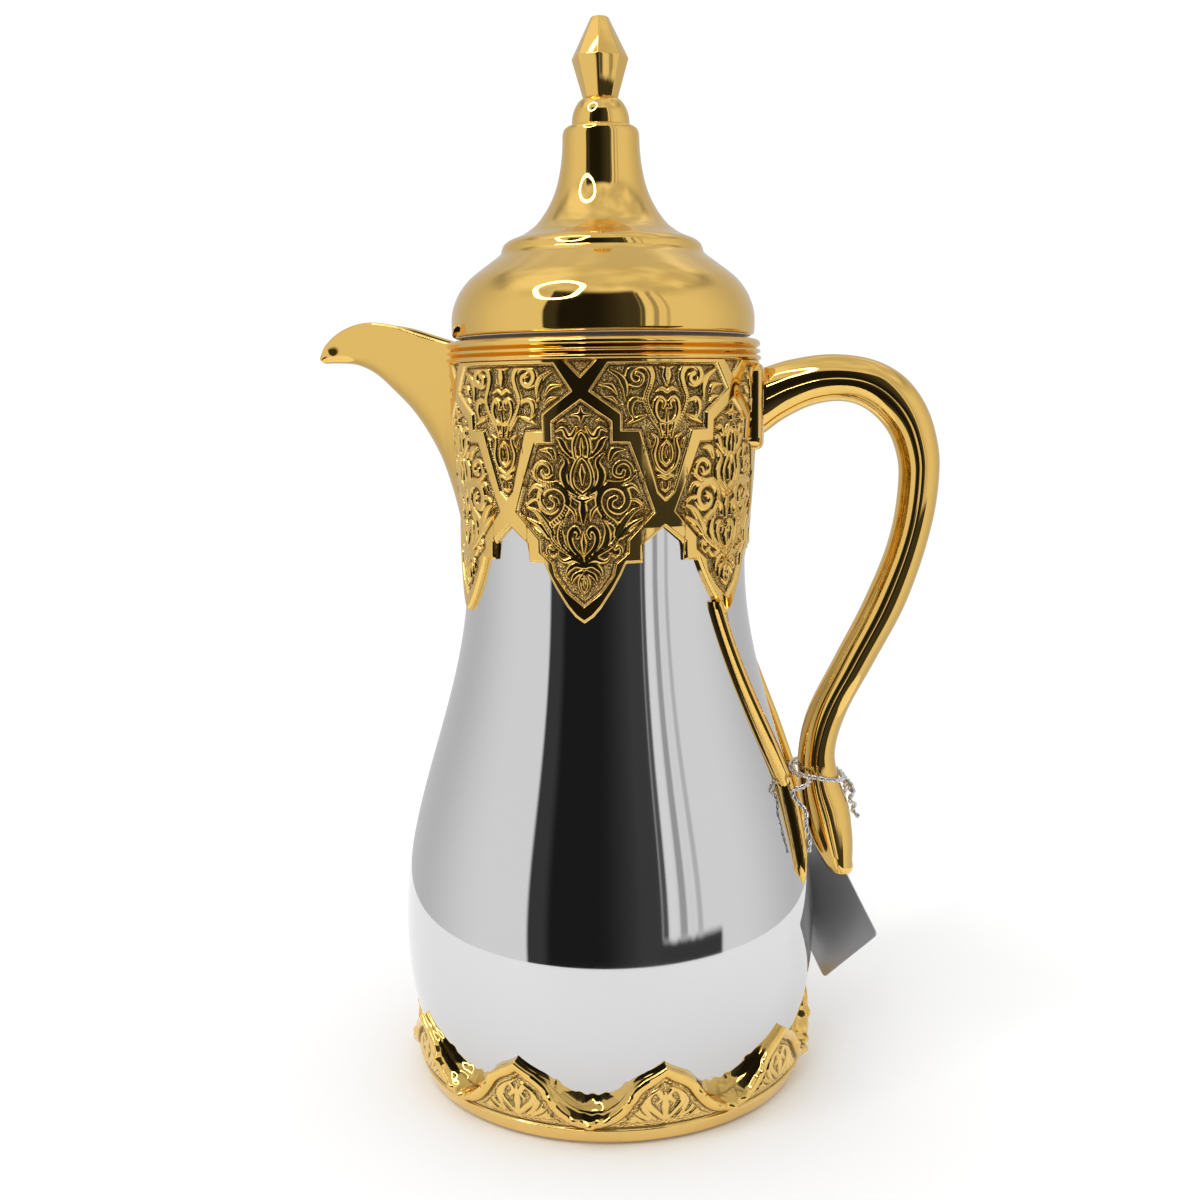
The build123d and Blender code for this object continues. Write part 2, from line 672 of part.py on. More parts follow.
with BuildPart() as handle_flange:
    with BuildSketch(Plane.YZ.offset(NECK_RADIUS)):
        with Locations((0, (FLANGE_LOW + FLANGE_HIGH) / 2)):
            RectangleRounded(FLANGE_WIDTH, FLANGE_HIGH - FLANGE_LOW, 4)
    extrude(amount=root_face - NECK_RADIUS)
    add(skirt_core.part, mode=Mode.SUBTRACT)
    for height in STUD_HEIGHTS:
        with Locations(Location((NECK_RADIUS, 0, height), (0, 90, 0))):
            Cylinder(STUD_RADIUS, 24, mode=Mode.SUBTRACT)

stud_start = insert_bore + 1.0
stud_end = root_face + STUD_REACH
with BuildPart() as handle_studs:
    for height in STUD_HEIGHTS:
        with Locations(Location(((stud_start + stud_end) / 2, 0, height), (0, 90, 0))):
            Cylinder(STUD_RADIUS, stud_end - stud_start)

# ================================================================ stays


def stay_point(height):
    """Middle of the front stay, which swings in from a petal to beside the handle's tail."""
    if height > STAY_WAIST_HEIGHT:
        share = (height - STAY_WAIST_HEIGHT) / (STAY_HIGH - STAY_WAIST_HEIGHT)
        angle = STAY_WAIST_ANGLE + (STAY_TOP_ANGLE - STAY_WAIST_ANGLE) * share
    else:
        share = (STAY_WAIST_HEIGHT - height) / (STAY_WAIST_HEIGHT - STAY_LOW)
        angle = STAY_WAIST_ANGLE + (STAY_FOOT_ANGLE - STAY_WAIST_ANGLE) * share
    reach = body_radius(height) + STAY_PROUD - STAY_RADIUS
    return Vector(reach * cos(radians(angle)), -reach * sin(radians(angle)), height)


with BuildPart() as stay_front:
    with BuildLine() as stay_path:
        Spline([stay_point(STAY_LOW + (STAY_HIGH - STAY_LOW) * step / 7) for step in range(8)])
    with BuildSketch(Plane(origin=stay_path.line @ 0, z_dir=stay_path.line % 0)):
        Circle(STAY_RADIUS)
    sweep()
    with Locations(stay_point(STAY_LOW)):
        Sphere(STAY_RADIUS)
    add(body_envelope.part, mode=Mode.SUBTRACT)
    add(skirt_core.part, mode=Mode.SUBTRACT)

with BuildPart() as stay_back:
    add(stay_front.part)
    mirror(about=Plane.XZ, mode=Mode.REPLACE)

# ================================================================ lid
with BuildPart() as lid_dome:
    with BuildSketch(Plane.XZ):
        with BuildLine():
            rim = Line((LID_RIM_RADIUS - 0.9, LID_BOTTOM), (LID_RIM_RADIUS, LID_BOTTOM + 0.9))
            wall = Line(rim @ 1, (LID_RIM_RADIUS, LID_WALL_TOP - 1))
            shoulder = Spline(
                wall @ 1,
                (LID_RIM_RADIUS * 0.947, LID_WALL_TOP + 6),
                (LID_RIM_RADIUS * 0.834, LID_WALL_TOP + 12),
                (STEP_RADIUS + 2.2, STEP_HEIGHT - 1.6),
                tangents=[(0, 1), (-1, 0.6)],
            )
            ridge_middle = (STEP_RADIUS, STEP_HEIGHT + 2.4)
            ridge = ThreePointArc(shoulder @ 1, ridge_middle, (FLARE_RADIUS + 2, FLARE_HEIGHT))
            flare = Spline(
                ridge @ 1,
                (LID_NECK_RADIUS + 5.0, FLARE_HEIGHT + 7.6),
                (LID_NECK_RADIUS + 1.8, FLARE_HEIGHT + 15.6),
                (LID_NECK_RADIUS, LID_NECK_BASE),
                tangents=[(-1, 0.25), (0, 1)],
            )
            neck = Line(flare @ 1, (LID_NECK_RADIUS, LID_TOP - 2))
            hole = BUTTON_RADIUS + BUTTON_CLEARANCE
            crown_middle = (LID_NECK_RADIUS - 0.7, LID_TOP - 0.6)
            crown = ThreePointArc(neck @ 1, crown_middle, (LID_NECK_RADIUS - 2, LID_TOP))
            inner_flare = Spline(
                (LID_NECK_RADIUS - LID_WALL, LID_NECK_BASE),
                (LID_NECK_RADIUS + 1.8 - LID_WALL, FLARE_HEIGHT + 14.8),
                (LID_NECK_RADIUS + 5.0 - LID_WALL, FLARE_HEIGHT + 6.6),
                (FLARE_RADIUS + 1, FLARE_HEIGHT - LID_WALL),
                tangents=[(0, -1), (1, -0.25)],
            )
            Polyline(
                crown @ 1,
                (hole, LID_TOP),
                (hole, LID_TOP - LID_WALL),
                (LID_NECK_RADIUS - LID_WALL, LID_TOP - LID_WALL - 0.6),
                inner_flare @ 0,
            )
            inner_shoulder = Spline(
                (STEP_RADIUS + 1.4, STEP_HEIGHT - 1.6 - LID_WALL),
                (LID_RIM_RADIUS * 0.834 - 0.8, LID_WALL_TOP + 12 - LID_WALL),
                (LID_RIM_RADIUS * 0.947 - LID_WALL, LID_WALL_TOP + 5.6),
                (LID_RIM_RADIUS - LID_WALL, LID_WALL_TOP - 1),
                tangents=[(1, -0.6), (0, -1)],
            )
            Line(inner_flare @ 1, inner_shoulder @ 0)
            Polyline(inner_shoulder @ 1, (LID_RIM_RADIUS - LID_WALL, LID_BOTTOM), rim @ 0)
        make_face()
    revolve()

lid_flange_radius = LID_RIM_RADIUS - LID_WALL - FIT_CLEARANCE
stopper_radius = insert_bore - STOPPER_CLEARANCE
flange_bottom = COLLAR_TOP + LID_GASKET
with BuildPart() as lid_gasket:
    with BuildSketch(Plane.XY.offset(COLLAR_TOP)):
        Circle(LID_RIM_RADIUS - 3)
        Circle(stopper_radius + FIT_CLEARANCE, mode=Mode.SUBTRACT)
    extrude(amount=LID_GASKET)

rod_bore = ROD_RADIUS + ROD_CLEARANCE
with BuildPart() as stopper_body:
    with BuildSketch(Plane.XY.offset(flange_bottom)):
        Circle(lid_flange_radius)
        Circle(stopper_radius - STOPPER_WALL, mode=Mode.SUBTRACT)
    extrude(amount=LID_FLANGE)
    with BuildSketch(Plane.XY.offset(STOPPER_BOTTOM)):
        Circle(stopper_radius)
        Circle(stopper_radius - STOPPER_WALL, mode=Mode.SUBTRACT)
    extrude(amount=flange_bottom - STOPPER_BOTTOM)
    with BuildSketch(Plane.XY.offset(STOPPER_BOTTOM)):
        Circle(stopper_radius - STOPPER_WALL + 1)
    extrude(amount=STOPPER_FLOOR)
    with BuildSketch(Plane.XY.offset(SNOUT_BOTTOM)):
        Circle(SNOUT_RADIUS)
    extrude(amount=STOPPER_BOTTOM - SNOUT_BOTTOM)
    with BuildSketch(Plane.XY.offset(SNOUT_BOTTOM)):
        Circle(SNOUT_BORE)
    extrude(amount=STOPPER_BOTTOM - SNOUT_BOTTOM, mode=Mode.SUBTRACT)
    # pouring windows round the snout, above its seal
    window_middle = (insert_floor_top + STOPPER_BOTTOM) / 2 + 1
    with BuildSketch(Plane.XY.offset(window_middle)):
        with PolarLocations(0, 4):
            Rectangle(SNOUT_RADIUS * 3, 9)
        Circle(SNOUT_BORE - 0.5, mode=Mode.SUBTRACT)
    extrude(amount=(STOPPER_BOTTOM - insert_floor_top) / 2 - 3, both=True, mode=Mode.SUBTRACT)
    with Locations((0, 0, STOPPER_BOTTOM)):
        Cylinder(rod_bore, 20, mode=Mode.SUBTRACT)

with BuildPart() as stopper_seal:
    with BuildSketch(Plane.XY.offset(insert_bottom - GASKET_THICKNESS - SEAL_THICKNESS)):
        Circle(MOUTH_RADIUS - 0.3)
        Circle(SNOUT_RADIUS + FIT_CLEARANCE, mode=Mode.SUBTRACT)
    extrude(amount=SEAL_THICKNESS)

rod_seal_bottom = STOPPER_BOTTOM + STOPPER_FLOOR
with BuildPart() as rod_seal:
    with BuildSketch(Plane.XY.offset(rod_seal_bottom)):
        Circle(ROD_RADIUS + 4)
        Circle(ROD_RADIUS + ROD_SEAL_FIT, mode=Mode.SUBTRACT)
    extrude(amount=2.0)

# ================================================================ button guide
guide_outer = LID_NECK_RADIUS - LID_WALL - FIT_CLEARANCE
guide_inner = guide_outer - GUIDE_WALL
guide_top = LID_NECK_BASE + 4
with BuildPart() as button_guide:
    with BuildSketch(Plane.XY.offset(GUIDE_BOTTOM)):
        Circle(guide_outer)
        Circle(guide_inner, mode=Mode.SUBTRACT)
    extrude(amount=guide_top - GUIDE_BOTTOM)
    with BuildSketch(Plane.XY.offset(GUIDE_BOTTOM)):
        Circle(guide_outer)
        Circle(rod_bore, mode=Mode.SUBTRACT)
    extrude(amount=GUIDE_FLOOR)

# ================================================================ push button and valve
button_skirt_bottom = LID_TOP - BUTTON_SKIRT + BUTTON_TRAVEL
dome_top = LID_TOP + DOME_HEIGHT
with BuildPart() as button_cap:
    with BuildSketch(Plane.XZ):
        with BuildLine():
            base = Polyline((BUTTON_RADIUS, LID_TOP + 0.4), (BUTTON_RADIUS, LID_TOP + 1.4))
            dome = ThreePointArc(
                base @ 1,
                (BUTTON_RADIUS * 0.86, LID_TOP + DOME_HEIGHT * 0.62),
                (FINIAL_FOOT_RADIUS, dome_top),
            )
            Polyline(
                dome @ 1,
                (0, dome_top),
                (0, LID_TOP - 1.6),
                (BUTTON_RADIUS - BUTTON_WALL, LID_TOP - 1.6),
                (BUTTON_RADIUS - BUTTON_WALL, button_skirt_bottom),
                (BUTTON_RADIUS, button_skirt_bottom),
                base @ 0,
            )
        make_face()
    revolve()
    with Locations((0, 0, LID_TOP)):
        Cylinder(ROD_RADIUS, 8, mode=Mode.SUBTRACT)

finial_belly = dome_top + FINIAL_TAPER
with BuildPart() as finial:
    with BuildSketch(Plane.XY.offset(dome_top)):
        RegularPolygon(FINIAL_FOOT_RADIUS, FINIAL_SIDES)
    with BuildSketch(Plane.XY.offset(finial_belly)):
        RegularPolygon(FINIAL_RADIUS, FINIAL_SIDES)
    loft(ruled=True)
    with BuildSketch(Plane.XY.offset(finial_belly)):
        RegularPolygon(FINIAL_RADIUS, FINIAL_SIDES)
    with BuildSketch(Plane.XY.offset(dome_top + FINIAL_HEIGHT)):
        RegularPolygon(FINIAL_TOP_RADIUS, FINIAL_SIDES)
    loft(ruled=True)

valve_top = SNOUT_BOTTOM - VALVE_GAP
with BuildPart() as push_rod:
    with BuildSketch(Plane.XY.offset(valve_top - VALVE_THICKNESS)):
        Circle(ROD_RADIUS)
    extrude(amount=LID_TOP + 4 - valve_top + VALVE_THICKNESS)

with BuildPart() as valve_disc:
    with BuildSketch(Plane.XY.offset(valve_top - VALVE_THICKNESS)):
        Circle(SNOUT_BORE + VALVE_LAP)
        Circle(ROD_RADIUS, mode=Mode.SUBTRACT)
    extrude(amount=VALVE_THICKNESS)
    chamfer(valve_disc.faces().sort_by(Axis.Z)[0].edges().sort_by(SortBy.LENGTH)[-1], 1.0)

with BuildPart() as valve_seal:
    with BuildSketch(Plane.XY.offset(valve_top)):
        Circle(SNOUT_BORE + VALVE_LAP)
        Circle(SNOUT_BORE - VALVE_LAP, mode=Mode.SUBTRACT)
    extrude(amount=VALVE_GAP)

spring_low = GUIDE_BOTTOM + GUIDE_FLOOR
spring_high = LID_TOP - 1.6
spring_rise = spring_high - spring_low - SPRING_WIRE - 2 * SPRING_GAP
spring_foot = spring_low + SPRING_GAP + SPRING_WIRE / 2
with BuildPart() as return_spring:
    with BuildLine():
        coil = Helix(spring_rise / SPRING_TURNS, spring_rise, SPRING_RADIUS, center=(0, 0, spring_foot))
    with BuildSketch(Plane(origin=coil @ 0, z_dir=coil % 0)):
        Circle(SPRING_WIRE / 2)
    sweep(is_frenet=True)

# ================================================================ wire and tag
wire_half_x = TAIL_THICKNESS / 2 + WIRE_RADIUS + WIRE_CLEARANCE + 0.6
wire_half_y = HANDLE_WIDTH / 2 + WIRE_RADIUS + WIRE_CLEARANCE
wire_x = tail_inside + TAIL_THICKNESS / 2

# the card leans on the belly: its long edge runs up and back, its short edge out and forward
tag_up = Vector(-0.414, 0.604, 0.682).normalized()
tag_across = Vector(0.576, -0.408, 0.711).normalized()
tag_corner = Vector(BELLY_RADIUS + TAG_STANDOFF, TAG_BACK, TAG_LOW)
tag_hole = tag_corner + tag_across * (TAG_WIDTH / 2) + tag_up * (TAG_LENGTH - TAG_HOLE_INSET)
tag_normal = tag_across.cross(tag_up)
with BuildPart() as hang_tag:
    card = Plane(
        origin=tag_corner + tag_across * (TAG_WIDTH / 2) + tag_up * (TAG_LENGTH / 2),
        x_dir=tag_across,
        z_dir=tag_normal,
    )
    with BuildSketch(card):
        RectangleRounded(TAG_WIDTH, TAG_LENGTH, 1)
        with Locations((0, TAG_LENGTH / 2 - TAG_HOLE_INSET)):
            Circle(TAG_HOLE, mode=Mode.SUBTRACT)
    extrude(amount=TAG_THICKNESS / 2, both=True)

with BuildPart() as tag_wire:
    for height in (WIRE_HEIGHT - WIRE_RADIUS, WIRE_HEIGHT + WIRE_RADIUS):
        with BuildSketch(Plane.XY.offset(height - WIRE_RADIUS)):
            with Locations((wire_x, 0)):
                RectangleRounded(2 * (wire_half_x + WIRE_RADIUS), 2 * (wire_half_y + WIRE_RADIUS), 6.4)
                inner_x = 2 * (wire_half_x - WIRE_RADIUS)
                inner_y = 2 * (wire_half_y - WIRE_RADIUS)
                RectangleRounded(inner_x, inner_y, 5.2, mode=Mode.SUBTRACT)
        extrude(amount=2 * WIRE_RADIUS)
    # the end that drops to the card turns through its hole, where the card swings on it
    leave = Vector(wire_x + 2, wire_half_y, WIRE_HEIGHT)
    arrive = tag_hole + tag_normal * WIRE_PIN
    drop = arrive - leave
    with BuildSketch(Plane(origin=leave, z_dir=drop)):
        Circle(WIRE_RADIUS)
    extrude(amount=drop.length)
    with BuildSketch(Plane(origin=arrive, z_dir=tag_normal)):
        Circle(WIRE_RADIUS)
    extrude(amount=-2 * WIRE_PIN)
    with Locations(arrive):
        Sphere(WIRE_RADIUS)

pieces = {
    "body_shell": body_shell,
    "foot_pad": foot_pad,
    "base_plug": base_plug,
    "base_ring": base_ring,
    "liner_outer": liner_outer,
    "liner_inner": liner_inner,
    "liner_cushion": liner_cushion,
    "neck_gasket": neck_gasket,
    "neck_insert": neck_insert,
    "collar_ring": collar_ring,
    "spout": spout,
    "petal_skirt": petal_skirt,
    "handle_back": handle_back,
    "handle_belly": handle_belly,
    "handle_flange": handle_flange,
    "handle_studs": handle_studs,
    "stay_front": stay_front,
    "stay_back": stay_back,
    "lid_dome": lid_dome,
    "lid_gasket": lid_gasket,
    "stopper_body": stopper_body,
    "stopper_seal": stopper_seal,
    "rod_seal": rod_seal,
    "button_guide": button_guide,
    "button_cap": button_cap,
    "finial": finial,
    "push_rod": push_rod,
    "valve_disc": valve_disc,
    "valve_seal": valve_seal,
    "return_spring": return_spring,
    "tag_wire": tag_wire,
    "hang_tag": hang_tag,
}
for name, piece in pieces.items():
    piece.part.label = name
    export_step(piece.part, f"parts/{name}.step")
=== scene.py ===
"""Dallah vacuum coffee pot: the visible pieces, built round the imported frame.

Lengths in the tables are millimetres; MM turns them into metres.
"""

from math import cos, hypot, pi, radians, sin, sqrt

import bmesh
import bpy
import numpy as np
from mathutils import Matrix, Vector


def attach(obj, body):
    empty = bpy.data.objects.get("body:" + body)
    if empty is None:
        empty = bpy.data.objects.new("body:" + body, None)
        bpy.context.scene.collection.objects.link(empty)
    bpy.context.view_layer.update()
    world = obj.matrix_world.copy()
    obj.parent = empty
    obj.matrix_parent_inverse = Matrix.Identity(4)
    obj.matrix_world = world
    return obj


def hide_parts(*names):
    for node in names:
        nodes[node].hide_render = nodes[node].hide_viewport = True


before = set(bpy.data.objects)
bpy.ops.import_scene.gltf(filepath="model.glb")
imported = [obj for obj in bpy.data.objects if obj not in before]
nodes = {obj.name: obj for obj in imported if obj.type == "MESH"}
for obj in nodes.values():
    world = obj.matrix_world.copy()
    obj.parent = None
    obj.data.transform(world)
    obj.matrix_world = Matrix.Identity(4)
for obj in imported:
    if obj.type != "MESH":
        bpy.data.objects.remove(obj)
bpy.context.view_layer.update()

MM = 0.001
CAMERA_AZIMUTH = radians(-82.0)

# ---------------------------------------------------------------- finishes
GOLD = (0.87, 0.575, 0.165, 1)
DEEP_GOLD = (0.83, 0.53, 0.14, 1)
STEEL = (0.70, 0.70, 0.705, 1)


def new_material(name):
    material = bpy.data.materials.new(name)
    material.use_nodes = True
    return material, material.node_tree, material.node_tree.nodes["Principled BSDF"]


def add_node(tree, kind, **values):
    """A node with its plain properties and its numbered or named inputs set."""
    node = tree.nodes.new(kind)
    for key, value in values.items():
        if key.startswith("in_"):
            node.inputs[int(key[3:])].default_value = value
        else:
            setattr(node, key, value)
    return node


def object_place(tree, scale=(1, 1, 1)):
    """Object coordinates, stretched by scale."""
    place = add_node(tree, "ShaderNodeTexCoord")
    mapping = add_node(tree, "ShaderNodeMapping")
    mapping.inputs["Scale"].default_value = scale
    tree.links.new(place.outputs["Object"], mapping.inputs["Vector"])
    return mapping.outputs["Vector"]


def noise(tree, place, scale, detail=3.0, roughness=0.5):
    texture = add_node(tree, "ShaderNodeTexNoise")
    texture.inputs["Scale"].default_value = scale
    texture.inputs["Detail"].default_value = detail
    texture.inputs["Roughness"].default_value = roughness
    tree.links.new(place, texture.inputs["Vector"])
    return texture.outputs["Fac"]


def spread(tree, value, low, high, soft=True, from_low=0.0, from_high=1.0):
    """value moved from one range to another."""
    node = add_node(tree, "ShaderNodeMapRange")
    node.interpolation_type = "SMOOTHSTEP" if soft else "LINEAR"
    node.inputs["From Min"].default_value = from_low
    node.inputs["From Max"].default_value = from_high
    node.inputs["To Min"].default_value = low
    node.inputs["To Max"].default_value = high
    tree.links.new(value, node.inputs["Value"])
    return node.outputs["Result"]


def bumped(tree, shader, height, strength, distance):
    bump = add_node(tree, "ShaderNodeBump")
    bump.inputs["Strength"].default_value = strength
    bump.inputs["Distance"].default_value = distance
    tree.links.new(height, bump.inputs["Height"])
    tree.links.new(bump.outputs["Normal"], shader.inputs["Normal"])


def mixed_colour(tree, fac, first, second):
    mix = add_node(tree, "ShaderNodeMix", data_type="RGBA")
    mix.inputs[6].default_value = first
    mix.inputs[7].default_value = second
    tree.links.new(fac, mix.inputs[0])
    return mix.outputs[2]


def polished_metal(name, colour, deep, rough_low, rough_high, ripple):
    """Mirror metal with faint wiping marks and a trace of unevenness."""
    material, tree, shader = new_material(name)
    place = object_place(tree)
    shader.inputs["Metallic"].default_value = 1.0
    smear = noise(tree, place, 38.0, 4.0)
    tree.links.new(spread(tree, smear, rough_low, rough_high), shader.inputs["Roughness"])
    tone = noise(tree, place, 14.0, 2.0)
    tree.links.new(mixed_colour(tree, tone, colour, deep), shader.inputs["Base Color"])
    bumped(tree, shader, noise(tree, place, 60.0, 1.0), ripple, 0.0002)
    return material


def worked_gold(name, grain):
    """Gold whose low ground is stippled and whose raised work is polished, with painted shade darkening the foot of
    the work.
    """
    material, tree, shader = new_material(name)
    place = object_place(tree)
    shader.inputs["Metallic"].default_value = 1.0
    relief = add_node(tree, "ShaderNodeAttribute", attribute_name="polish").outputs["Fac"]
    tree.links.new(spread(tree, relief, 0.20, 0.06), shader.inputs["Roughness"])
    plated = mixed_colour(tree, relief, (0.92, 0.67, 0.27, 1), GOLD)
    # painted shade: the colour darkens to deep brown at the foot of the relief and round the cell edges
    painted_shade = add_node(tree, "ShaderNodeAttribute", attribute_name="painted_shade").outputs["Fac"]
    shaded = add_node(tree, "ShaderNodeMix", data_type="RGBA")
    shaded.inputs[7].default_value = (0.13, 0.065, 0.008, 1)
    tree.links.new(plated, shaded.inputs[6])
    tree.links.new(spread(tree, painted_shade, 0.0, 0.82), shaded.inputs[0])
    tree.links.new(shaded.outputs[2], shader.inputs["Base Color"])
    punch = add_node(tree, "ShaderNodeTexVoronoi", feature="F1")
    punch.inputs["Scale"].default_value = grain
    tree.links.new(place, punch.inputs["Vector"])
    pits = add_node(tree, "ShaderNodeMath", operation="MULTIPLY")
    tree.links.new(punch.outputs["Distance"], pits.inputs[0])
    tree.links.new(spread(tree, relief, 1.0, 0.0, from_low=0.05, from_high=0.6), pits.inputs[1])
    bumped(tree, shader, pits.outputs[0], 0.9, 0.0006)
    return material


def moulded(name, colour, roughness, grain, strength):
    """Plastic, rubber or silicone with a fine moulded grain."""
    material, tree, shader = new_material(name)
    place = object_place(tree)
    speck = noise(tree, place, grain, 4.0, 0.6)
    darker = tuple(channel * 0.82 for channel in colour[:3]) + (1,)
    tree.links.new(mixed_colour(tree, noise(tree, place, 45.0), colour, darker), shader.inputs["Base Color"])
    tree.links.new(spread(tree, speck, roughness - 0.08, roughness + 0.1), shader.inputs["Roughness"])
    bumped(tree, shader, speck, strength, 0.0003)
    return material


def silvered_glass(name):
    """Clear glass over the silvering of a vacuum liner."""
    material, tree, shader = new_material(name)
    place = object_place(tree)
    silver = mixed_colour(tree, noise(tree, place, 22.0), (0.78, 0.80, 0.82, 1), (0.64, 0.66, 0.70, 1))
    tree.links.new(silver, shader.inputs["Base Color"])
    shader.inputs["Metallic"].default_value = 0.92
    shader.inputs["Coat Weight"].default_value = 1.0
    shader.inputs["Coat Roughness"].default_value = 0.02
    tree.links.new(spread(tree, noise(tree, place, 60.0), 0.03, 0.12), shader.inputs["Roughness"])
    return material


gold = polished_metal("polished_gold", GOLD, DEEP_GOLD, 0.025, 0.06, 0.03)
chased_gold = worked_gold("chased_gold", 2100.0)
ring_gold = worked_gold("engraved_ring_gold", 1500.0)
steel = polished_metal("mirror_steel", STEEL, (0.67, 0.67, 0.68, 1), 0.02, 0.06, 0.015)
rod_steel = polished_metal("rod_steel", (0.66, 0.66, 0.67, 1), (0.56, 0.56, 0.58, 1), 0.12, 0.28, 0.1)
wire_silver = polished_metal("wire_silver", (0.80, 0.80, 0.80, 1), (0.60, 0.60, 0.62, 1), 0.10, 0.26, 0.2)
card_silver = polished_metal("card_silver", (0.62, 0.62, 0.63, 1), (0.54, 0.54, 0.56, 1), 0.42, 0.55, 0.2)
rubber = moulded("foot_rubber", (0.022, 0.022, 0.024, 1), 0.66, 900.0, 0.5)
black_plastic = moulded("black_plastic", (0.030, 0.030, 0.033, 1), 0.38, 700.0, 0.25)
cream_plastic = moulded("cream_plastic", (0.80, 0.76, 0.66, 1), 0.34, 500.0, 0.15)
silicone = moulded("seal_silicone", (0.14, 0.13, 0.12, 1), 0.46, 400.0, 0.15)
liner_silver = silvered_glass("liner_silver")

FINISH_OF_SLOT = {
    "gold_plate": gold,
    "polished_steel": steel,
    "steel_rod": rod_steel,
    "black_rubber": rubber,
    "black_plastic": black_plastic,
    "liner_glass": liner_silver,
    "silicone": silicone,
    "cream_plastic": cream_plastic,
    "tie_wire": wire_silver,
    "silver_card": card_silver,
}

# CAD pieces that stay as they are take the finish of their slot
SLOT_OF_NODE = {
    "foot_pad": "black_rubber",
    "base_plug": "black_plastic",
    "liner_outer": "liner_glass",
    "liner_inner": "liner_glass",
    "liner_cushion": "silicone",
    "neck_gasket": "silicone",
    "neck_insert": "cream_plastic",
    "handle_studs": "steel_rod",
    "lid_gasket": "silicone",
    "stopper_body": "cream_plastic",
    "stopper_seal": "silicone",
    "rod_seal": "silicone",
    "button_guide": "black_plastic",
    "push_rod": "steel_rod",
    "valve_disc": "cream_plastic",
    "valve_seal": "silicone",
    "return_spring": "steel_rod",
}
for node_name, slot_name in SLOT_OF_NODE.items():
    mesh = nodes[node_name].data
    mesh.materials.clear()
    mesh.materials.append(FINISH_OF_SLOT[slot_name])


# ---------------------------------------------------------------- mesh helpers
def finished(bm, name, body, slot_name, replaced, material=None, sharp=35.0):
    """Turns a bmesh in millimetres into a piece of the pot."""
    bmesh.ops.remove_doubles(bm, verts=bm.verts, dist=1e-4)
    bmesh.ops.recalc_face_normals(bm, faces=bm.faces)
    bmesh.ops.scale(bm, vec=(MM, MM, MM), verts=bm.verts)
    mesh = bpy.data.meshes.new(name)
    bm.to_mesh(mesh)
    bm.free()
    mesh.shade_smooth()
    mesh.set_sharp_from_angle(angle=radians(sharp))
    piece = bpy.data.objects.new(name, mesh)
    bpy.context.scene.collection.objects.link(piece)
    mesh.materials.append(material or FINISH_OF_SLOT[slot_name])
    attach(piece, body)
    if replaced:
        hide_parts(*replaced)
    return piece


def line_through(points, steps=8):
    """A smooth line through the points, steps to each span."""
    places = [Vector(point) for point in points]
    line = []
    for index in range(len(places) - 1):
        start = places[index]
        end = places[index + 1]
        before = places[max(index - 1, 0)]
        after = places[min(index + 2, len(places) - 1)]
        reach = (end - start).length / 3
        leave = (end - before).normalized() * reach
        arrive = (after - start).normalized() * reach
        for step in range(steps):
            t = step / steps
            a, b = start + leave, end - arrive
            line.append((1 - t) ** 3 * start + 3 * (1 - t) ** 2 * t * a + 3 * (1 - t) * t**2 * b + t**3 * end)
    line.append(places[-1])
    return line


def spun(outline, steps=256):
    """A bmesh of the outline (radius, height) turned about the pot's axis."""
    bm = bmesh.new()
    rim = [bm.verts.new((radius, 0, height)) for radius, height in outline]
    edges = [bm.edges.new(pair) for pair in zip(rim, rim[1:])]
    bmesh.ops.spin(
        bm, geom=rim + edges, axis=(0, 0, 1), cent=(0, 0, 0), angle=2 * pi, steps=steps, use_merge=True
    )
    return bm


def laid_grid(columns, rows, place):
    """A bmesh grid whose corner (column, row) is moved to place(u, v), both from 0 to 1."""
    bm = bmesh.new()
    bmesh.ops.create_grid(bm, x_segments=columns, y_segments=rows, size=1)
    for vert in bm.verts:
        u = (vert.co.x + 1) / 2
        v = (vert.co.y + 1) / 2
        vert.co = place(u, v)
    return bm


def between(table, key):
    """Value at key in a table of (key, value) pairs in rising order."""
    return float(np.interp(key, [pair[0] for pair in table], [pair[1] for pair in table]))


# ---------------------------------------------------------------- the pot's body line
def body_radius(height):
    """Outside radius of the steel body, for one height or an array of them."""
    height = np.asarray(height, dtype=float)
    turn = np.pi * np.clip(height - 51.0, 0, 119.0) / 119.0
    shoulder = 56.8 + 11.5 * np.cos(turn)
    drop = np.clip(51.0 - height, 0, 48.0) / 48.0
    return shoulder - 10.8 * drop**2.3


def skirt_radius(height):
    """Outside radius of the petal skirt, for one height or an array of them."""
    height = np.asarray(height, dtype=float)
    rise = np.clip((height - 185.0) / 49.0, 0, 1)
    return body_radius(height) + 1.9 + 2.6 * np.sin(rise * np.pi / 2)


heights = [3.0 + 167.0 * step / 80 for step in range(81)]
wall = [(float(body_radius(height)), height) for height in heights]
wall += [(45.3, height) for height in (190.0, 211.0, 226.0, 237.4)]
inside = [(radius - 0.8, height) for radius, height in reversed(wall[2:-1])]
outline = wall + [(45.1, 238.0), (44.7, 238.0), (44.5, 237.4)] + inside
bm = spun(outline + [(46.0, 3.8), (46.0, 3.0), wall[0]], 256)
# the pouring port, open through both walls under the spout
port = [
    face
    for face in bm.faces
    if face.calc_center_median().x < -40
    and abs(face.calc_center_median().y) < 9.0
    and 211.0 < face.calc_center_median().z < 226.0
]
bmesh.ops.delete(bm, geom=port, context="FACES")
bmesh.ops.remove_doubles(bm, verts=bm.verts, dist=1e-4)
bmesh.ops.bridge_loops(bm, edges=[edge for edge in bm.edges if edge.is_boundary])
finished(bm, "steel_body", "pot", "polished_steel", ["body_shell"])

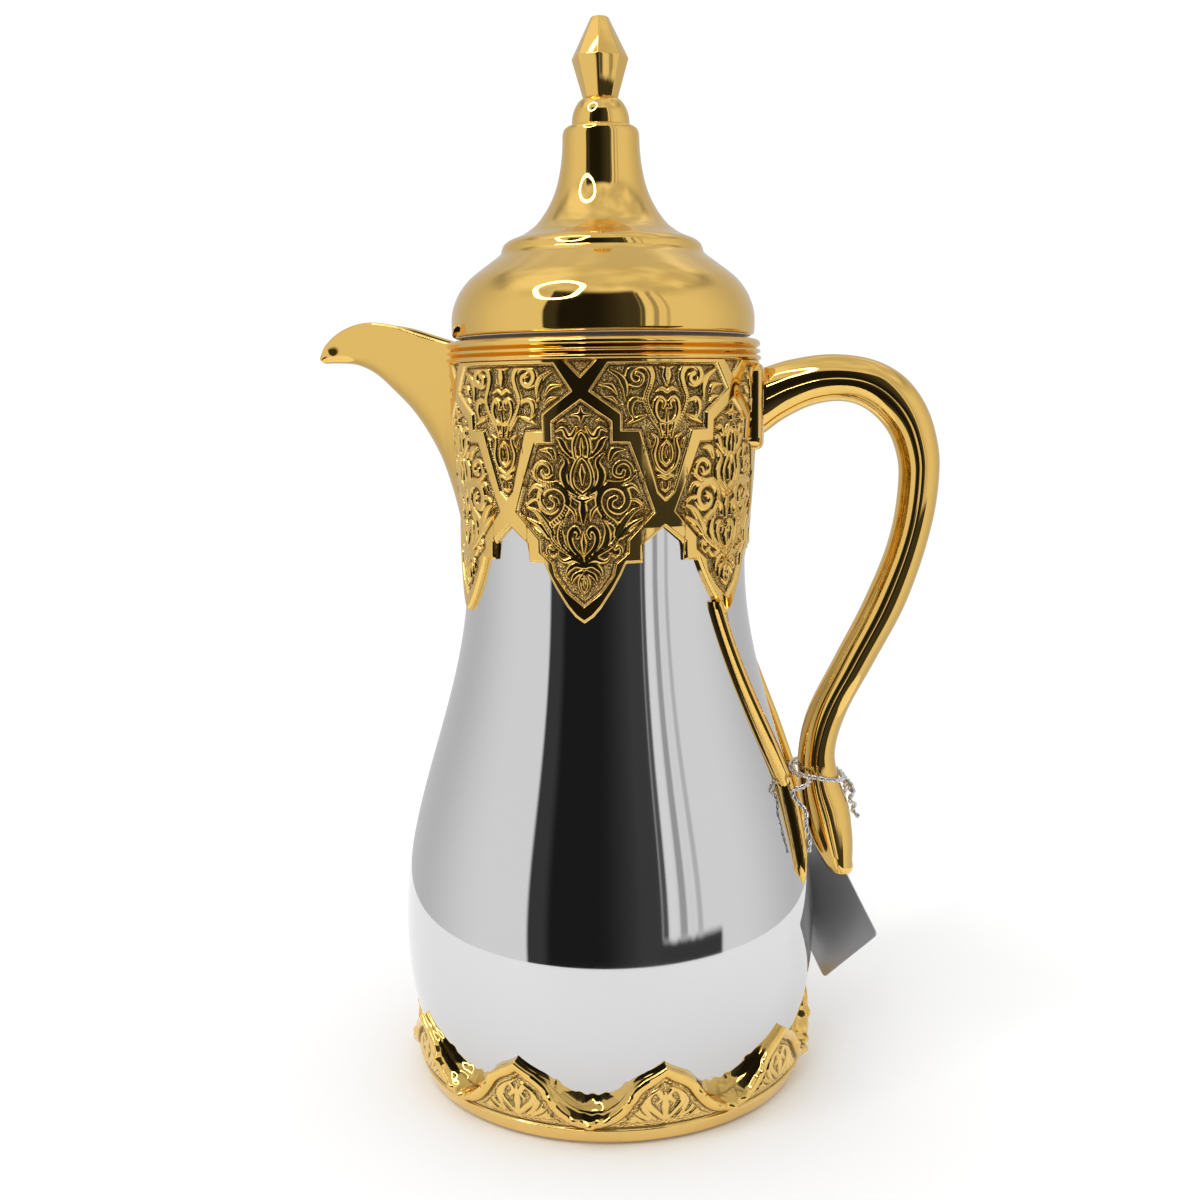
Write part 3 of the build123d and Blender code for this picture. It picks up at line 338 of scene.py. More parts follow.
# ---------------------------------------------------------------- collar
collar = [(45.35, 234.0), (49.3, 234.0)]
collar += line_through([(49.3, 234.0), (50.2, 234.5), (50.4, 235.0), (50.2, 235.5), (49.4, 235.9)], 4)[1:]
collar += [(48.9, 236.1)]
collar += line_through([(49.3, 236.3), (50.0, 236.7), (50.2, 237.1), (50.0, 237.5), (49.2, 237.9)], 4)
collar += [(48.7, 238.1)]
crown = [(49.1, 238.3), (49.9, 238.8), (50.1, 239.5), (49.7, 240.3), (48.9, 240.8), (47.7, 241.0)]
collar += line_through(crown, 4)
collar += [(40.45, 241.0), (40.45, 238.05), (45.35, 238.05), (45.35, 234.0)]
finished(spun(collar, 256), "gold_collar", "pot", "gold_plate", ["collar_ring"], sharp=50)


# ---------------------------------------------------------------- chased relief
def outline_distance(points, s, z, closed=True):
    """Distance of every place (s, z) to a line of points, and whether it is inside it."""
    nearest = np.full(s.shape, 1e9)
    inside = np.zeros(s.shape, dtype=bool)
    ends = points[1:] + points[:1] if closed else points[1:]
    for (x0, z0), (x1, z1) in zip(points, ends):
        along = ((s - x0) * (x1 - x0) + (z - z0) * (z1 - z0)) / max((x1 - x0) ** 2 + (z1 - z0) ** 2, 1e-9)
        along = np.clip(along, 0, 1)
        nearest = np.minimum(nearest, np.hypot(s - x0 - along * (x1 - x0), z - z0 - along * (z1 - z0)))
        if z0 != z1:
            crosses = (z0 > z) != (z1 > z)
            inside ^= crosses & (s < (x1 - x0) * (z - z0) / (z1 - z0) + x0)
    return nearest, inside


def depth_in(points, s, z):
    """Depth inside a closed outline, negative outside it."""
    nearest, inside = outline_distance(points, s, z)
    return np.where(inside, nearest, -nearest)


def eased(value, low, high):
    share = np.clip((value - low) / (high - low), 0, 1)
    return share * share * (3 - 2 * share)


def stroke(s, z, points, start, middle, end, vein):
    """Height from 0 to 1 of one chased leaf or stem, its width going start, middle, end.

    vein from 0 to 1 sinks a groove along its middle.
    """
    line = [tuple(place) for place in line_through([(x, y, 0) for x, y in points], 5)]
    best = np.zeros(s.shape)
    nearest = np.full(s.shape, 9.0)
    count = len(line) - 1
    for number in range(count):
        (x0, z0, _), (x1, z1, _) = line[number], line[number + 1]
        span = max((x1 - x0) ** 2 + (z1 - z0) ** 2, 1e-9)
        along = np.clip(((s - x0) * (x1 - x0) + (z - z0) * (z1 - z0)) / span, 0, 1)
        gap = np.hypot(s - x0 - along * (x1 - x0), z - z0 - along * (z1 - z0))
        share = (number + along) / count
        width = np.where(
            share < 0.5, start + (middle - start) * share * 2, middle + (end - middle) * (share * 2 - 1)
        )
        nearest = np.minimum(nearest, gap / width)
        ratio = np.clip(gap / width, 0, 1)
        ridge = np.sqrt(1 - ratio**2) * (1 - 0.7 * vein * (1 - eased(ratio, 0.0, 0.42)))
        best = np.maximum(best, ridge)
    return best, nearest


def chased(s, z, strokes, depth):
    """Height and foot shadow, each from 0 to 1, of all the strokes inside a cell."""
    height = np.zeros(s.shape)
    nearest = np.full(s.shape, 9.0)
    for points, start, middle, end, vein in strokes:
        ridge, ratio = stroke(s, z, points, start * BOLD, middle * BOLD, end * BOLD, vein)
        height = np.maximum(height, ridge)
        nearest = np.minimum(nearest, ratio)
    inside = eased(depth, 0.7, 1.4)
    return height * inside, np.exp(-(((nearest - 1.1) / 0.26) ** 2)) * inside


def mirrored(half):
    """A closed outline from its right half, given from the top down."""
    return half + [(-x, z) for x, z in reversed(half) if x > 0]


BOLD = 1.32
PETAL_HALF = 25.133
PETAL_CELL = mirrored(
    [
        (0, 222.8),
        (8.9, 216.4),
        (8.9, 210.4),
        (14.0, 210.3),
        (22.0, 189.6),
        (14.0, 181.6),
        (13.9, 177.8),
        (10.0, 174.6),
        (9.2, 171.0),
        (5.4, 166.0),
        (0, 161.7),
    ]
)
HANGING_CELL = mirrored(
    [(17.4, 233.2), (22.8, 225.1), (13.7, 218.4), (13.7, 213.5), (8.2, 213.4), (2.6, 195.6), (0, 193.1)]
)
TOP_TRIANGLE = [(-5.4, 234.6), (5.4, 234.6), (0, 228.8)]
PETAL_EDGE = [
    (0, 156.9),
    (2.8, 158.8),
    (5.4, 161.7),
    (9.0, 167.0),
    (11.4, 171.2),
    (13.0, 174.6),
    (18.2, 174.7),
    (18.4, 180.0),
    (25.133, 185.1),
]

# chased work of a petal's right half: points, width at start, middle and end, and vein
PETAL_WORK = [
    ([(0.6, 176), (5.5, 178.2), (9.8, 181.5), (10.2, 185.5), (6.4, 189), (4.7, 193), (5.8, 196.3), (9.0, 197.7),
      (12.6, 196.2), (13.4, 192.8), (11.2, 190.2), (8.6, 190.9), (8.2, 193.2), (9.8, 194.2)], 0.7, 1.25, 0.9, 0.55),
    ([(10.3, 183.5), (12.8, 187.5), (15.5, 190.3), (18.8, 191.4)], 1.3, 1.0, 0.35, 0.5),
    ([(11.4, 182.7), (14, 185.6), (17, 187.4), (19.8, 188.6)], 1.0, 0.8, 0.3, 0.0),
    ([(13.0, 183.2), (15.6, 184.6), (17.4, 186.0)], 0.5, 0.7, 0.3, 0.0),
    ([(7.6, 198.8), (11.4, 198.6), (14.6, 200.2), (14.2, 203.4), (12.0, 204.6), (9.8, 203.3), (9.7, 201.1),
      (11.6, 200.5), (12.3, 201.9)], 0.5, 0.8, 0.7, 0.4),
    ([(8.0, 205.0), (9.3, 207.9), (12.4, 208.2)], 0.5, 1.1, 0.4, 0.4),
    ([(12.4, 196.9), (15.0, 197.6), (17.0, 195.4)], 0.9, 0.8, 0.3, 0.0),
    ([(15.6, 200.6), (16.4, 203.4), (14.9, 206.8)], 0.4, 0.7, 0.3, 0.0),
    ([(0, 195.2), (2.5, 197.5), (3.0, 201), (1.7, 204.6), (0, 206.4)], 0.7, 0.8, 0.6, 0.0),
    ([(0, 198.2), (0, 201.5), (0, 204.0)], 0.5, 1.1, 0.4, 0.0),
    ([(1.4, 195.2), (4.7, 197.6), (5.7, 201.4), (4.6, 204.8), (6.8, 207.4)], 0.9, 1.3, 0.4, 0.5),
    ([(2.0, 206), (2.3, 209.5), (1.4, 212.3), (0, 213.8)], 0.7, 0.8, 0.5, 0.0),
    ([(0, 206.8), (0, 209.0), (0, 211.4)], 0.5, 0.8, 0.4, 0.0),
    ([(3.0, 206.4), (4.9, 208.6), (6.2, 211.0), (7.4, 211.8)], 0.6, 1.1, 0.4, 0.4),
    ([(1.4, 214.8), (3.6, 211.9), (5.4, 214.4), (7.4, 213.6)], 0.5, 0.9, 0.4, 0.0),
    ([(0, 216.0), (0, 218.4), (0, 220.8)], 0.3, 1.1, 0.3, 0.0),
    ([(0, 218.4), (1.4, 218.4), (3.0, 218.2)], 0.9, 0.6, 0.3, 0.0),
    ([(0, 186.6), (0, 190.2), (0, 193.2)], 0.5, 1.4, 1.0, 0.45),
    ([(0, 193.3), (1.6, 193.7), (3.2, 194.6)], 0.9, 0.7, 0.4, 0.0),
    ([(0.6, 176.6), (3.2, 179.2), (4.3, 182.4), (3.0, 185.0), (1.5, 184.0), (2.0, 182.4)], 0.7, 1.15, 0.6, 0.45),
    ([(2.4, 176.4), (6.4, 180.2), (7.3, 184.4), (5.4, 188.0)], 0.7, 1.3, 0.4, 0.5),
    ([(0, 178.0), (0, 181.0), (0, 184.2)], 0.5, 1.1, 0.3, 0.0),
    ([(0, 174.6), (3.2, 176.0), (6.4, 175.4), (8.4, 177.2)], 0.9, 0.9, 0.4, 0.0),
    ([(8.0, 177.8), (10.2, 176.6), (11.6, 178.3), (10.6, 179.8), (9.7, 178.9)], 0.4, 0.7, 0.6, 0.0),
    ([(0.4, 173.8), (2.8, 174.2), (5.0, 172.6), (5.6, 170.4)], 0.7, 1.0, 0.3, 0.4),
    ([(0.6, 172.4), (3.0, 171.0), (4.0, 168.6)], 0.6, 0.9, 0.3, 0.4),
    ([(0, 171.8), (1.4, 169.6), (1.1, 167.2), (0, 165.8)], 0.5, 0.7, 0.4, 0.0),
    ([(0, 170.4), (0, 168.8), (0, 167.4)], 0.3, 0.6, 0.3, 0.0),
    ([(5.6, 192.6), (2.8, 190.2), (2.2, 187.2)], 0.4, 0.8, 0.3, 0.0),
    ([(13.8, 193.6), (16.4, 193.2), (19.2, 190.6)], 0.4, 0.7, 0.3, 0.0),
    ([(4.4, 216.6), (6.0, 217.0), (6.9, 216.0)], 0.4, 0.6, 0.3, 0.0),
]

# chased work of a hanging cell's right half, which lies between two petals
HANGING_WORK = [
    ([(1.0, 212.6), (3.2, 215.4), (5.3, 219.0), (6.4, 223.0), (5.2, 226.6), (4.7, 229.6), (6.4, 232.2), (9.4, 232.2),
      (11.4, 229.8), (10.4, 227.3), (8.3, 227.1), (7.5, 229.0), (8.9, 229.9)], 0.5, 1.1, 0.8, 0.5),
    ([(17.2, 231.2), (13.8, 229.0), (12.4, 226.0), (12.4, 222.4)], 0.4, 1.1, 0.4, 0.45),
    ([(19.6, 226.8), (16.4, 226.4), (14.8, 224.2)], 0.4, 0.9, 0.4, 0.0),
    ([(18.6, 223.4), (16.2, 223.0), (14.8, 221.6)], 0.3, 0.7, 0.4, 0.0),
    ([(6.8, 222.0), (9.8, 222.6), (11.0, 219.8), (9.6, 216.6)], 0.5, 1.0, 0.4, 0.45),
    ([(6.4, 218.0), (8.6, 217.2), (11.8, 215.6)], 0.4, 0.8, 0.3, 0.0),
    ([(0, 226.4), (0, 229.4), (0, 232.0)], 0.4, 1.3, 0.9, 0.4),
    ([(0, 232.2), (1.6, 232.2), (3.2, 233.2)], 0.9, 0.7, 0.4, 0.0),
    ([(0, 215.4), (2.5, 216.6), (3.7, 219.8), (2.5, 222.8), (0.8, 221.8), (1.2, 220.2)], 0.6, 0.9, 0.6, 0.0),
    ([(0, 211.6), (0, 215.8), (0, 219.8)], 0.5, 0.7, 0.4, 0.0),
    ([(0, 224.6), (1.6, 225.6), (3.4, 224.8)], 0.6, 0.7, 0.3, 0.0),
    ([(2.4, 215.8), (1.9, 213.4), (1.5, 211.6)], 0.5, 0.6, 0.5, 0.0),
    ([(0, 200.8), (2.7, 202.8), (4.0, 206.6), (3.0, 211.0), (4.6, 212.6)], 0.6, 0.9, 0.4, 0.0),
    ([(0, 203.2), (1.6, 205.2), (1.4, 208.6), (0, 210.6)], 0.5, 0.7, 0.4, 0.0),
    ([(0, 205.6), (0, 207.0), (0, 208.8)], 0.3, 0.6, 0.3, 0.0),
    ([(0, 199.4), (2.0, 200.2), (3.4, 199.4)], 0.6, 0.6, 0.3, 0.0),
    ([(0, 195.6), (1.3, 196.8), (1.2, 198.4)], 0.4, 0.6, 0.4, 0.0),
    ([(5.0, 208.6), (5.6, 210.6), (6.8, 211.8)], 0.3, 0.6, 0.3, 0.0),
]

STRAP_RISE = 1.4
WORK_RISE = 1.25


def skirt_relief(s, z):
    """Height over the skirt's ground, polish and painted shade, at arc s from a petal's middle."""
    side = np.abs(s)
    to_edge = PETAL_HALF - side
    petal_depth = depth_in(PETAL_CELL, side, z)
    hanging_depth = depth_in(HANGING_CELL, to_edge, z)
    depth = np.maximum(petal_depth, hanging_depth)
    depth = np.maximum(depth, depth_in(TOP_TRIANGLE, side, z))
    strap = 1 - eased(depth, -0.1, 0.85)
    work, shadow = chased(side, z, PETAL_WORK, petal_depth)
    hanging, hanging_shadow = chased(to_edge, z, HANGING_WORK, hanging_depth)
    work = np.maximum(work, hanging)
    height = np.maximum(strap * STRAP_RISE, work * WORK_RISE)
    edge, _ = outline_distance(PETAL_EDGE, side, z, closed=False)
    height -= 0.9 * (1 - eased(edge, 0.0, 0.9))
    polish = np.maximum(strap, eased(work, 0.1, 0.6))
    # painted shade along the foot of the chased work and round the cell edges
    painted_shade = np.maximum(shadow, hanging_shadow)
    painted_shade = np.maximum(painted_shade, np.exp(-(((depth - 0.95) / 0.3) ** 2)))
    return height, polish, painted_shade


def relief_mesh(columns, rows, low_edge, high_edge, half, relief, radius_at, arc_radius):
    """One sector of relief about the +X direction: coordinates, and each corner's polish and painted shade."""
    u, v = np.meshgrid(np.linspace(-1, 1, columns + 1), np.linspace(0, 1, rows + 1))
    s = u * half
    low = low_edge(np.abs(s))
    z = low + v * (high_edge(np.abs(s)) - low)
    height, polish, painted_shade = relief(s, z)
    radius = radius_at(z) + height
    angle = s / arc_radius
    return np.stack([radius * np.cos(angle), radius * np.sin(angle), z], axis=-1), polish, painted_shade


def relief_piece(name, sector, turn, material, replaced, seat, keep=None):
    """A sector turned to its place, its lower and upper edges carried back to seat(height)."""
    coords, polish, painted_shade = sector
    rows, columns = polish.shape
    bm = bmesh.new()
    bmesh.ops.create_grid(bm, x_segments=columns - 1, y_segments=rows - 1, size=1)
    layer = bm.verts.layers.float.new("polish")
    # painted shade of each corner, which darkens the gold's colour in the recesses
    shade = bm.verts.layers.float.new("painted_shade")
    flat = coords.reshape(-1, 3)
    shine = polish.reshape(-1)
    dark = painted_shade.reshape(-1)
    bm.verts.ensure_lookup_table()
    for index, vert in enumerate(bm.verts):
        vert.co = flat[index]
        vert[layer] = shine[index]
        vert[shade] = dark[index]
    rims = [edge for edge in bm.edges if edge.is_boundary]
    sides = {0, columns - 1}
    rims = [edge for edge in rims if not all(vert.index % columns in sides for vert in edge.verts)
            or edge.verts[0].index // columns == edge.verts[1].index // columns]
    grown = bmesh.ops.extrude_edge_only(bm, edges=rims)["geom"]
    for vert in grown:
        if isinstance(vert, bmesh.types.BMVert):
            across = hypot(vert.co.x, vert.co.y)
            share = seat(vert.co.z) / across
            vert.co.x *= share
            vert.co.y *= share
            vert[layer] = 1.0
    bmesh.ops.rotate(bm, verts=bm.verts, cent=(0, 0, 0), matrix=Matrix.Rotation(radians(turn), 3, "Z"))
    if keep:
        gone = [face for face in bm.faces if not keep(face.calc_center_median())]
        bmesh.ops.delete(bm, geom=gone, context="FACES")
    return finished(bm, name, "pot", "gold_plate", replaced, material, sharp=60)


# ---------------------------------------------------------------- petal skirt
def petal_low(side):
    return np.interp(side, [x for x, _ in PETAL_EDGE], [z for _, z in PETAL_EDGE])


def skirt_ground(z):
    return skirt_radius(z) - STRAP_RISE


def clear_of_channel(centre):
    """False inside the pouring channel, which runs through the skirt under the spout."""
    if centre.x > 0 or centre.z < 200.0:
        return True
    return abs(centre.y) > between([(200.0, 3.0), (212.0, 9.0), (234.0, 13.4)], centre.z)


petal_sector = relief_mesh(
    200, 300, petal_low, lambda side: 234.0 + 0 * side, PETAL_HALF, skirt_relief, skirt_ground, 48.0
)
for petal, turn in enumerate((-150, -90, -30, 30, 90, 150)):
    relief_piece(
        f"skirt_petal_{petal + 1}", petal_sector, turn, chased_gold, ["petal_skirt"],
        lambda height: float(body_radius(height)) + 0.05, clear_of_channel if abs(turn) == 150 else None,
    )

# ---------------------------------------------------------------- base ring
LOBE_HALF = 23.04
LOBE_TOP = [
    (0, 26.2),
    (1.6, 25.0),
    (4.0, 23.5),
    (7.0, 21.9),
    (9.6, 19.8),
    (11.4, 17.2),
    (13.4, 14.5),
    (16.0, 12.0),
    (19.4, 10.2),
    (23.04, 9.6),
]
LOBE_LINE = [tuple(place)[:2] for place in line_through([(x, z, 0) for x, z in LOBE_TOP], 4)]
RING_WORK = [
    ([(0, 8.6), (3.0, 11.4), (5.6, 15.0), (3.4, 18.2), (1.2, 16.4), (2.6, 14.4)], 0.6, 0.9, 0.5, 0.4),
    ([(0, 9.4), (0, 13.0), (0, 17.4)], 0.5, 1.0, 0.4, 0.4),
    ([(5.0, 9.0), (8.6, 11.8), (9.6, 15.4), (7.4, 16.6)], 0.5, 0.9, 0.4, 0.4),
    ([(9.4, 8.6), (12.4, 9.6), (14.6, 8.6)], 0.4, 0.8, 0.3, 0.0),
    ([(1.4, 19.0), (4.4, 18.8), (6.2, 17.6)], 0.3, 0.6, 0.3, 0.0),
    ([(2.6, 8.4), (5.0, 10.6), (7.0, 14.0), (6.4, 16.4)], 0.3, 0.7, 0.3, 0.0),
    ([(6.8, 8.2), (10.2, 10.6), (11.2, 12.8), (9.9, 13.4)], 0.4, 0.8, 0.4, 0.0),
    ([(13.6, 8.0), (16.6, 8.6), (18.0, 8.1)], 0.3, 0.7, 0.2, 0.0),
]


# round knobs on the rolled edge: place along it and up it, radius and height
RING_KNOBS = [(11.7, 16.0, 2.3, 0.9), (LOBE_HALF - 4.6, 9.6, 2.2, 0.8), (LOBE_HALF, 8.0, 2.6, 1.4)]


def ring_radius(height):
    """Outside of the plain base ring: a rolled foot that runs up the body."""
    height = np.asarray(height, dtype=float)
    rolled = 61.9 + 3.6 * np.sin(np.clip(height / 14.0, 0, 1) * np.pi / 2)
    return np.maximum(rolled, body_radius(np.maximum(height, 3.0)) + 0.55)


def ring_relief(s, z):
    """Height over the plain ring, polish and painted shade, at arc s from a lobe's middle."""
    side = np.abs(s)
    edge, _ = outline_distance(LOBE_LINE, side, z, closed=False)
    roll = 1.75 * np.sqrt(np.clip(1 - ((edge - 1.4) / 1.9) ** 2, 0, 1))
    bead = np.zeros(np.shape(edge))
    for across, up, wide, tall in RING_KNOBS:
        gap = np.hypot(side - across, z - up) / wide
        bead = bead + tall * np.clip(1 - gap**2, 0, 1) ** 2
    field = edge - 3.3
    work, shadow = chased(side, z, RING_WORK, np.minimum(field - 0.1, z - 7.2))
    line = np.exp(-(((edge - 4.6) / 0.28) ** 2)) * eased(z, 7.0, 8.0)
    band = 0.85 * (1 - eased(z, 5.5, 6.3)) * eased(z, 0.4, 1.8)
    height = np.maximum(roll + bead, 0.85 * work) + band - 0.3 * line
    polish = np.maximum(eased(roll + bead, 0.0, 0.5), 0.18 + 0.6 * work)
    polish = np.where(z < 6.4, 0.6, polish)
    # painted shade at the inner foot of the roll, above the band and in the engraved line
    foot = np.exp(-((field / 0.35) ** 2)) + np.exp(-(((z - 6.5) / 0.4) ** 2))
    painted_shade = np.clip(np.maximum(0.8 * shadow, foot) * (bead < 0.4), 0, 1)
    return height, polish, np.maximum(painted_shade, 0.6 * line)


lobe_sector = relief_mesh(
    160, 90,
    lambda side: 0.5 + 0 * side,
    lambda side: np.interp(side, [x for x, _ in LOBE_LINE], [z for _, z in LOBE_LINE]),
    LOBE_HALF, ring_relief, ring_radius, 66.0,
)
for lobe in range(9):
    relief_piece(
        f"ring_lobe_{lobe + 1}", lobe_sector, 12 + 40 * lobe, ring_gold, ["base_ring"],
        lambda height: 59.75 if height < 3 else float(body_radius(height)) + 0.05,
    )

# ---------------------------------------------------------------- lid
DOME = [
    (48.2, 243.2),
    (48.3, 246.0),
    (48.15, 249.2),
    (47.4, 252.2),
    (45.7, 256.0),
    (42.6, 260.0),
    (37.6, 264.0),
    (33.6, 266.9),
]
RIDGE = [(32.2, 268.2), (31.9, 269.4), (31.3, 270.8), (29.8, 272.0), (27.6, 272.9), (25.4, 273.9)]
FLARE = [
    (23.9, 274.8),
    (21.2, 276.9),
    (18.5, 280.2),
    (16.0, 284.4),
    (14.3, 288.6),
    (13.2, 293.0),
    (12.5, 297.4),
    (12.2, 301.0),
    (12.1, 304.2),
]
NECK_LIP = [(12.0, 305.0), (11.6, 306.1), (10.8, 306.8), (10.1, 307.0), (9.45, 306.8)]
outside = [(47.2, 242.2), (47.9, 242.5)] + line_through([(*place, 0) for place in DOME], 6)
outside = [(place[0], place[1]) for place in outside]
outside += [tuple(place)[:2] for place in line_through([(*place, 0) for place in RIDGE], 4)]
outside += [tuple(place)[:2] for place in line_through([(*place, 0) for place in FLARE], 6)]
outside += [tuple(place)[:2] for place in line_through([(*place, 0) for place in NECK_LIP], 3)]
lining = [(9.45, 305.8), (10.9, 305.2), (10.9, 300.0), (12.8, 288.4), (17.2, 280.0), (25.0, 273.0), (32.6, 265.6)]
lining += [(39.2, 260.8), (44.4, 255.4), (47.0, 249.0), (47.0, 242.2)]
finished(spun(outside + lining + [outside[0]], 256), "lid_dome_gold", "lid", "gold_plate", ["lid_dome"], sharp=50)

cap = [(7.9, 301.0), (9.1, 301.0), (9.1, 307.8)]
cap += [
    tuple(place)[:2]
    for place in line_through(
        [(9.1, 308.4, 0), (8.9, 310.2, 0), (8.3, 312.2, 0), (7.3, 314.0, 0), (6.2, 315.2, 0), (5.2, 315.7, 0)], 5
    )
]
cap += [(2.05, 315.7), (2.05, 305.4), (7.9, 305.4), (7.9, 301.0)]
finished(spun(cap, 160), "push_button", "button", "gold_plate", ["button_cap"], sharp=50)

# the finial is turned with eight flats
bm = bmesh.new()
rings = []
for radius, height in ((5.5, 315.6), (5.6, 316.0), (8.9, 327.3), (8.9, 327.7), (2.9, 339.8), (2.7, 340.0)):
    made = bmesh.ops.create_circle(bm, segments=8, radius=radius, cap_ends=False)["verts"]
    bmesh.ops.translate(bm, verts=made, vec=(0, 0, height))
    bmesh.ops.rotate(bm, verts=made, cent=(0, 0, 0), matrix=Matrix.Rotation(radians(4), 3, "Z"))
    rings.append(sorted({edge for vert in made for edge in vert.link_edges}, key=lambda edge: edge.index))
for below, above in zip(rings, rings[1:]):
    bmesh.ops.bridge_loops(bm, edges=below + above)
bmesh.ops.holes_fill(bm, edges=bm.edges, sides=8)
bmesh.ops.recalc_face_normals(bm, faces=bm.faces)
corners = [edge for edge in bm.edges if edge.is_manifold and edge.calc_face_angle(0) > radians(20)]
bmesh.ops.bevel(bm, geom=corners, offset=0.22, segments=3, profile=0.5, affect="EDGES", material=-1)
finished(bm, "faceted_finial", "button", "gold_plate", ["finial"], sharp=25)

# ---------------------------------------------------------------- spout
SPOUT_RIM = [
    (-46.2, 239.6),
    (-51.2, 241.0),
    (-58.5, 243.3),
    (-65.1, 245.5),
    (-71.8, 246.7),
    (-76.8, 246.8),
    (-81.9, 245.7),
    (-87.0, 243.4),
    (-91.3, 239.9),
    (-93.4, 236.6),
]
SPOUT_KEEL = [
    (-46.0, 178.0),
    (-48.8, 190.0),
    (-52.4, 201.7),
    (-57.2, 211.3),
    (-62.4, 219.0),
    (-68.6, 225.6),
    (-75.0, 231.4),
    (-81.4, 234.5),
    (-87.4, 235.2),
    (-92.6, 235.2),
]
rim_line = line_through([(x, z, 0) for x, z in SPOUT_RIM], 8)
keel_line = line_through([(x, z, 0) for x, z in SPOUT_KEEL], 8)


def trough_point(along, turn, inset):
    """Point on the trough: along runs root to tip, turn from -1 at the back rim to 1 at the front one."""
    index = along * (len(rim_line) - 1)
    low = min(int(index), len(rim_line) - 2)
    rim = rim_line[low].lerp(rim_line[low + 1], index - low)
    keel = keel_line[low].lerp(keel_line[low + 1], index - low)
    half = 16.2 + (3.6 - 16.2) * along**0.85 - inset
    down = keel - rim
    depth = max(down.length - inset * 1.2, 0.3)
    swing = abs(turn) * pi / 2
    across = half * sin(swing) ** 0.86
    fall = depth * cos(swing) ** 0.80 if swing < pi / 2 - 1e-6 else 0.0
    place = rim + down.normalized() * fall
    return Vector((place.x, across if turn > 0 else -across, place.y))


WALL = 1.6
ROLL = 9
section = [("out", -1 + 2 * step / 48) for step in range(49)]
section += [("lip", step / ROLL) for step in range(1, ROLL)]
section += [("in", 1 - 2 * step / 48) for step in range(49)]
section += [("lip_back", step / ROLL) for step in range(1, ROLL)]
stations = 72
bm = bmesh.new()
bmesh.ops.create_grid(bm, x_segments=len(section), y_segments=stations, size=1)
bm.verts.ensure_lookup_table()
for index, vert in enumerate(bm.verts):
    station, corner = divmod(index, len(section) + 1)
    kind, value = section[corner % len(section)]
    along = station / stations
    if kind == "out":
        vert.co = trough_point(along, value, 0)
    elif kind == "in":
        vert.co = trough_point(along, value, WALL)
    else:
        side = 1 if kind == "lip" else -1
        outer = trough_point(along, side, 0)
        inner = trough_point(along, side, WALL)
        start, end = (outer, inner) if kind == "lip" else (inner, outer)
        bulge = Vector((0, 0, 1.0 * sin(value * pi)))
        vert.co = start.lerp(end, (1 - cos(value * pi)) / 2) + bulge
bmesh.ops.remove_doubles(bm, verts=bm.verts, dist=1e-4)
ends = [edge for edge in bm.edges if edge.is_boundary]
bmesh.ops.holes_fill(bm, edges=ends, sides=0)
finished(bm, "pouring_spout", "pot", "gold_plate", ["spout"], sharp=70)

# ---------------------------------------------------------------- handle
HANDLE_OUTER = [
    (51.4, 232.0),
    (59.5, 234.3),
    (71.9, 235.8),
    (84.4, 234.2),
    (93.7, 229.6),
    (100.2, 222.4),
    (104.4, 213.0),
    (106.4, 200.7),
    (104.3, 181.7),
    (97.0, 157.6),
    (87.2, 137.8),
    (78.6, 121.0),
    (75.0, 108.0),
    (76.4, 98.5),
    (79.5, 89.8),
    (81.0, 79.0),
    (81.2, 70.4),
]
HANDLE_INNER = [
    (51.4, 211.2),
    (57.8, 215.8),
    (66.5, 219.9),
    (75.2, 221.1),
    (81.8, 219.4),
    (87.8, 214.6),
    (91.8, 208.0),
    (93.7, 198.0),
    (91.2, 178.5),
    (83.6, 158.0),
    (73.9, 138.2),
    (65.6, 120.6),
    (62.9, 106.0),
    (63.8, 94.0),
    (65.9, 83.6),
    (68.4, 76.4),
    (71.4, 70.6),
]
outer_line = line_through([(x, z, 0) for x, z in HANDLE_OUTER], 8)
inner_line = line_through([(x, z, 0) for x, z in HANDLE_INNER], 8)


def handle_ring(out, within, share):
    """Rounded oval section between two edge points, with a fine seam down each side."""
    middle = (out + within) / 2
    across = out - within
    half = across.length / 2 * share
    wide = 7.5 * share
    direction = across.normalized()
    ring = []
    for step in range(72):
        turn = 2 * pi * step / 72
        x = abs(cos(turn)) ** 1.10 * (1 if cos(turn) > 0 else -1)
        y = abs(sin(turn)) ** 1.06 * (1 if sin(turn) > 0 else -1)
        seam = min(abs(turn - pi / 2), abs(turn - 3 * pi / 2))
        notch = 1 - 0.045 * max(0.0, 1 - seam / 0.1)
        place = middle + direction * half * x
        ring.append(Vector((place.x, wide * y * notch, place.y)))
    return ring


sections = [handle_ring(out, within, 1.0) for out, within in zip(outer_line, inner_line)]
last_out, last_within = outer_line[-1], inner_line[-1]
tail = Vector((78.0, 66.0, 0)) - (last_out + last_within) / 2
for share in (0.3, 0.55, 0.75, 0.88, 0.95, 0.985, 0.999):
    shift = tail * share
    sections.append(handle_ring(last_out + shift, last_within + shift, sqrt(1 - share**2)))
flat = [place for ring in sections for place in ring + ring[:1]]
bm = bmesh.new()
bmesh.ops.create_grid(bm, x_segments=72, y_segments=len(sections) - 1, size=1)
bm.verts.ensure_lookup_table()
for vert, place in zip(bm.verts, flat):
    vert.co = place
bmesh.ops.remove_doubles(bm, verts=bm.verts, dist=1e-4)
bmesh.ops.holes_fill(bm, edges=[edge for edge in bm.edges if edge.is_boundary], sides=0)
finished(bm, "curved_handle", "pot", "gold_plate", ["handle_back", "handle_belly"], sharp=40)
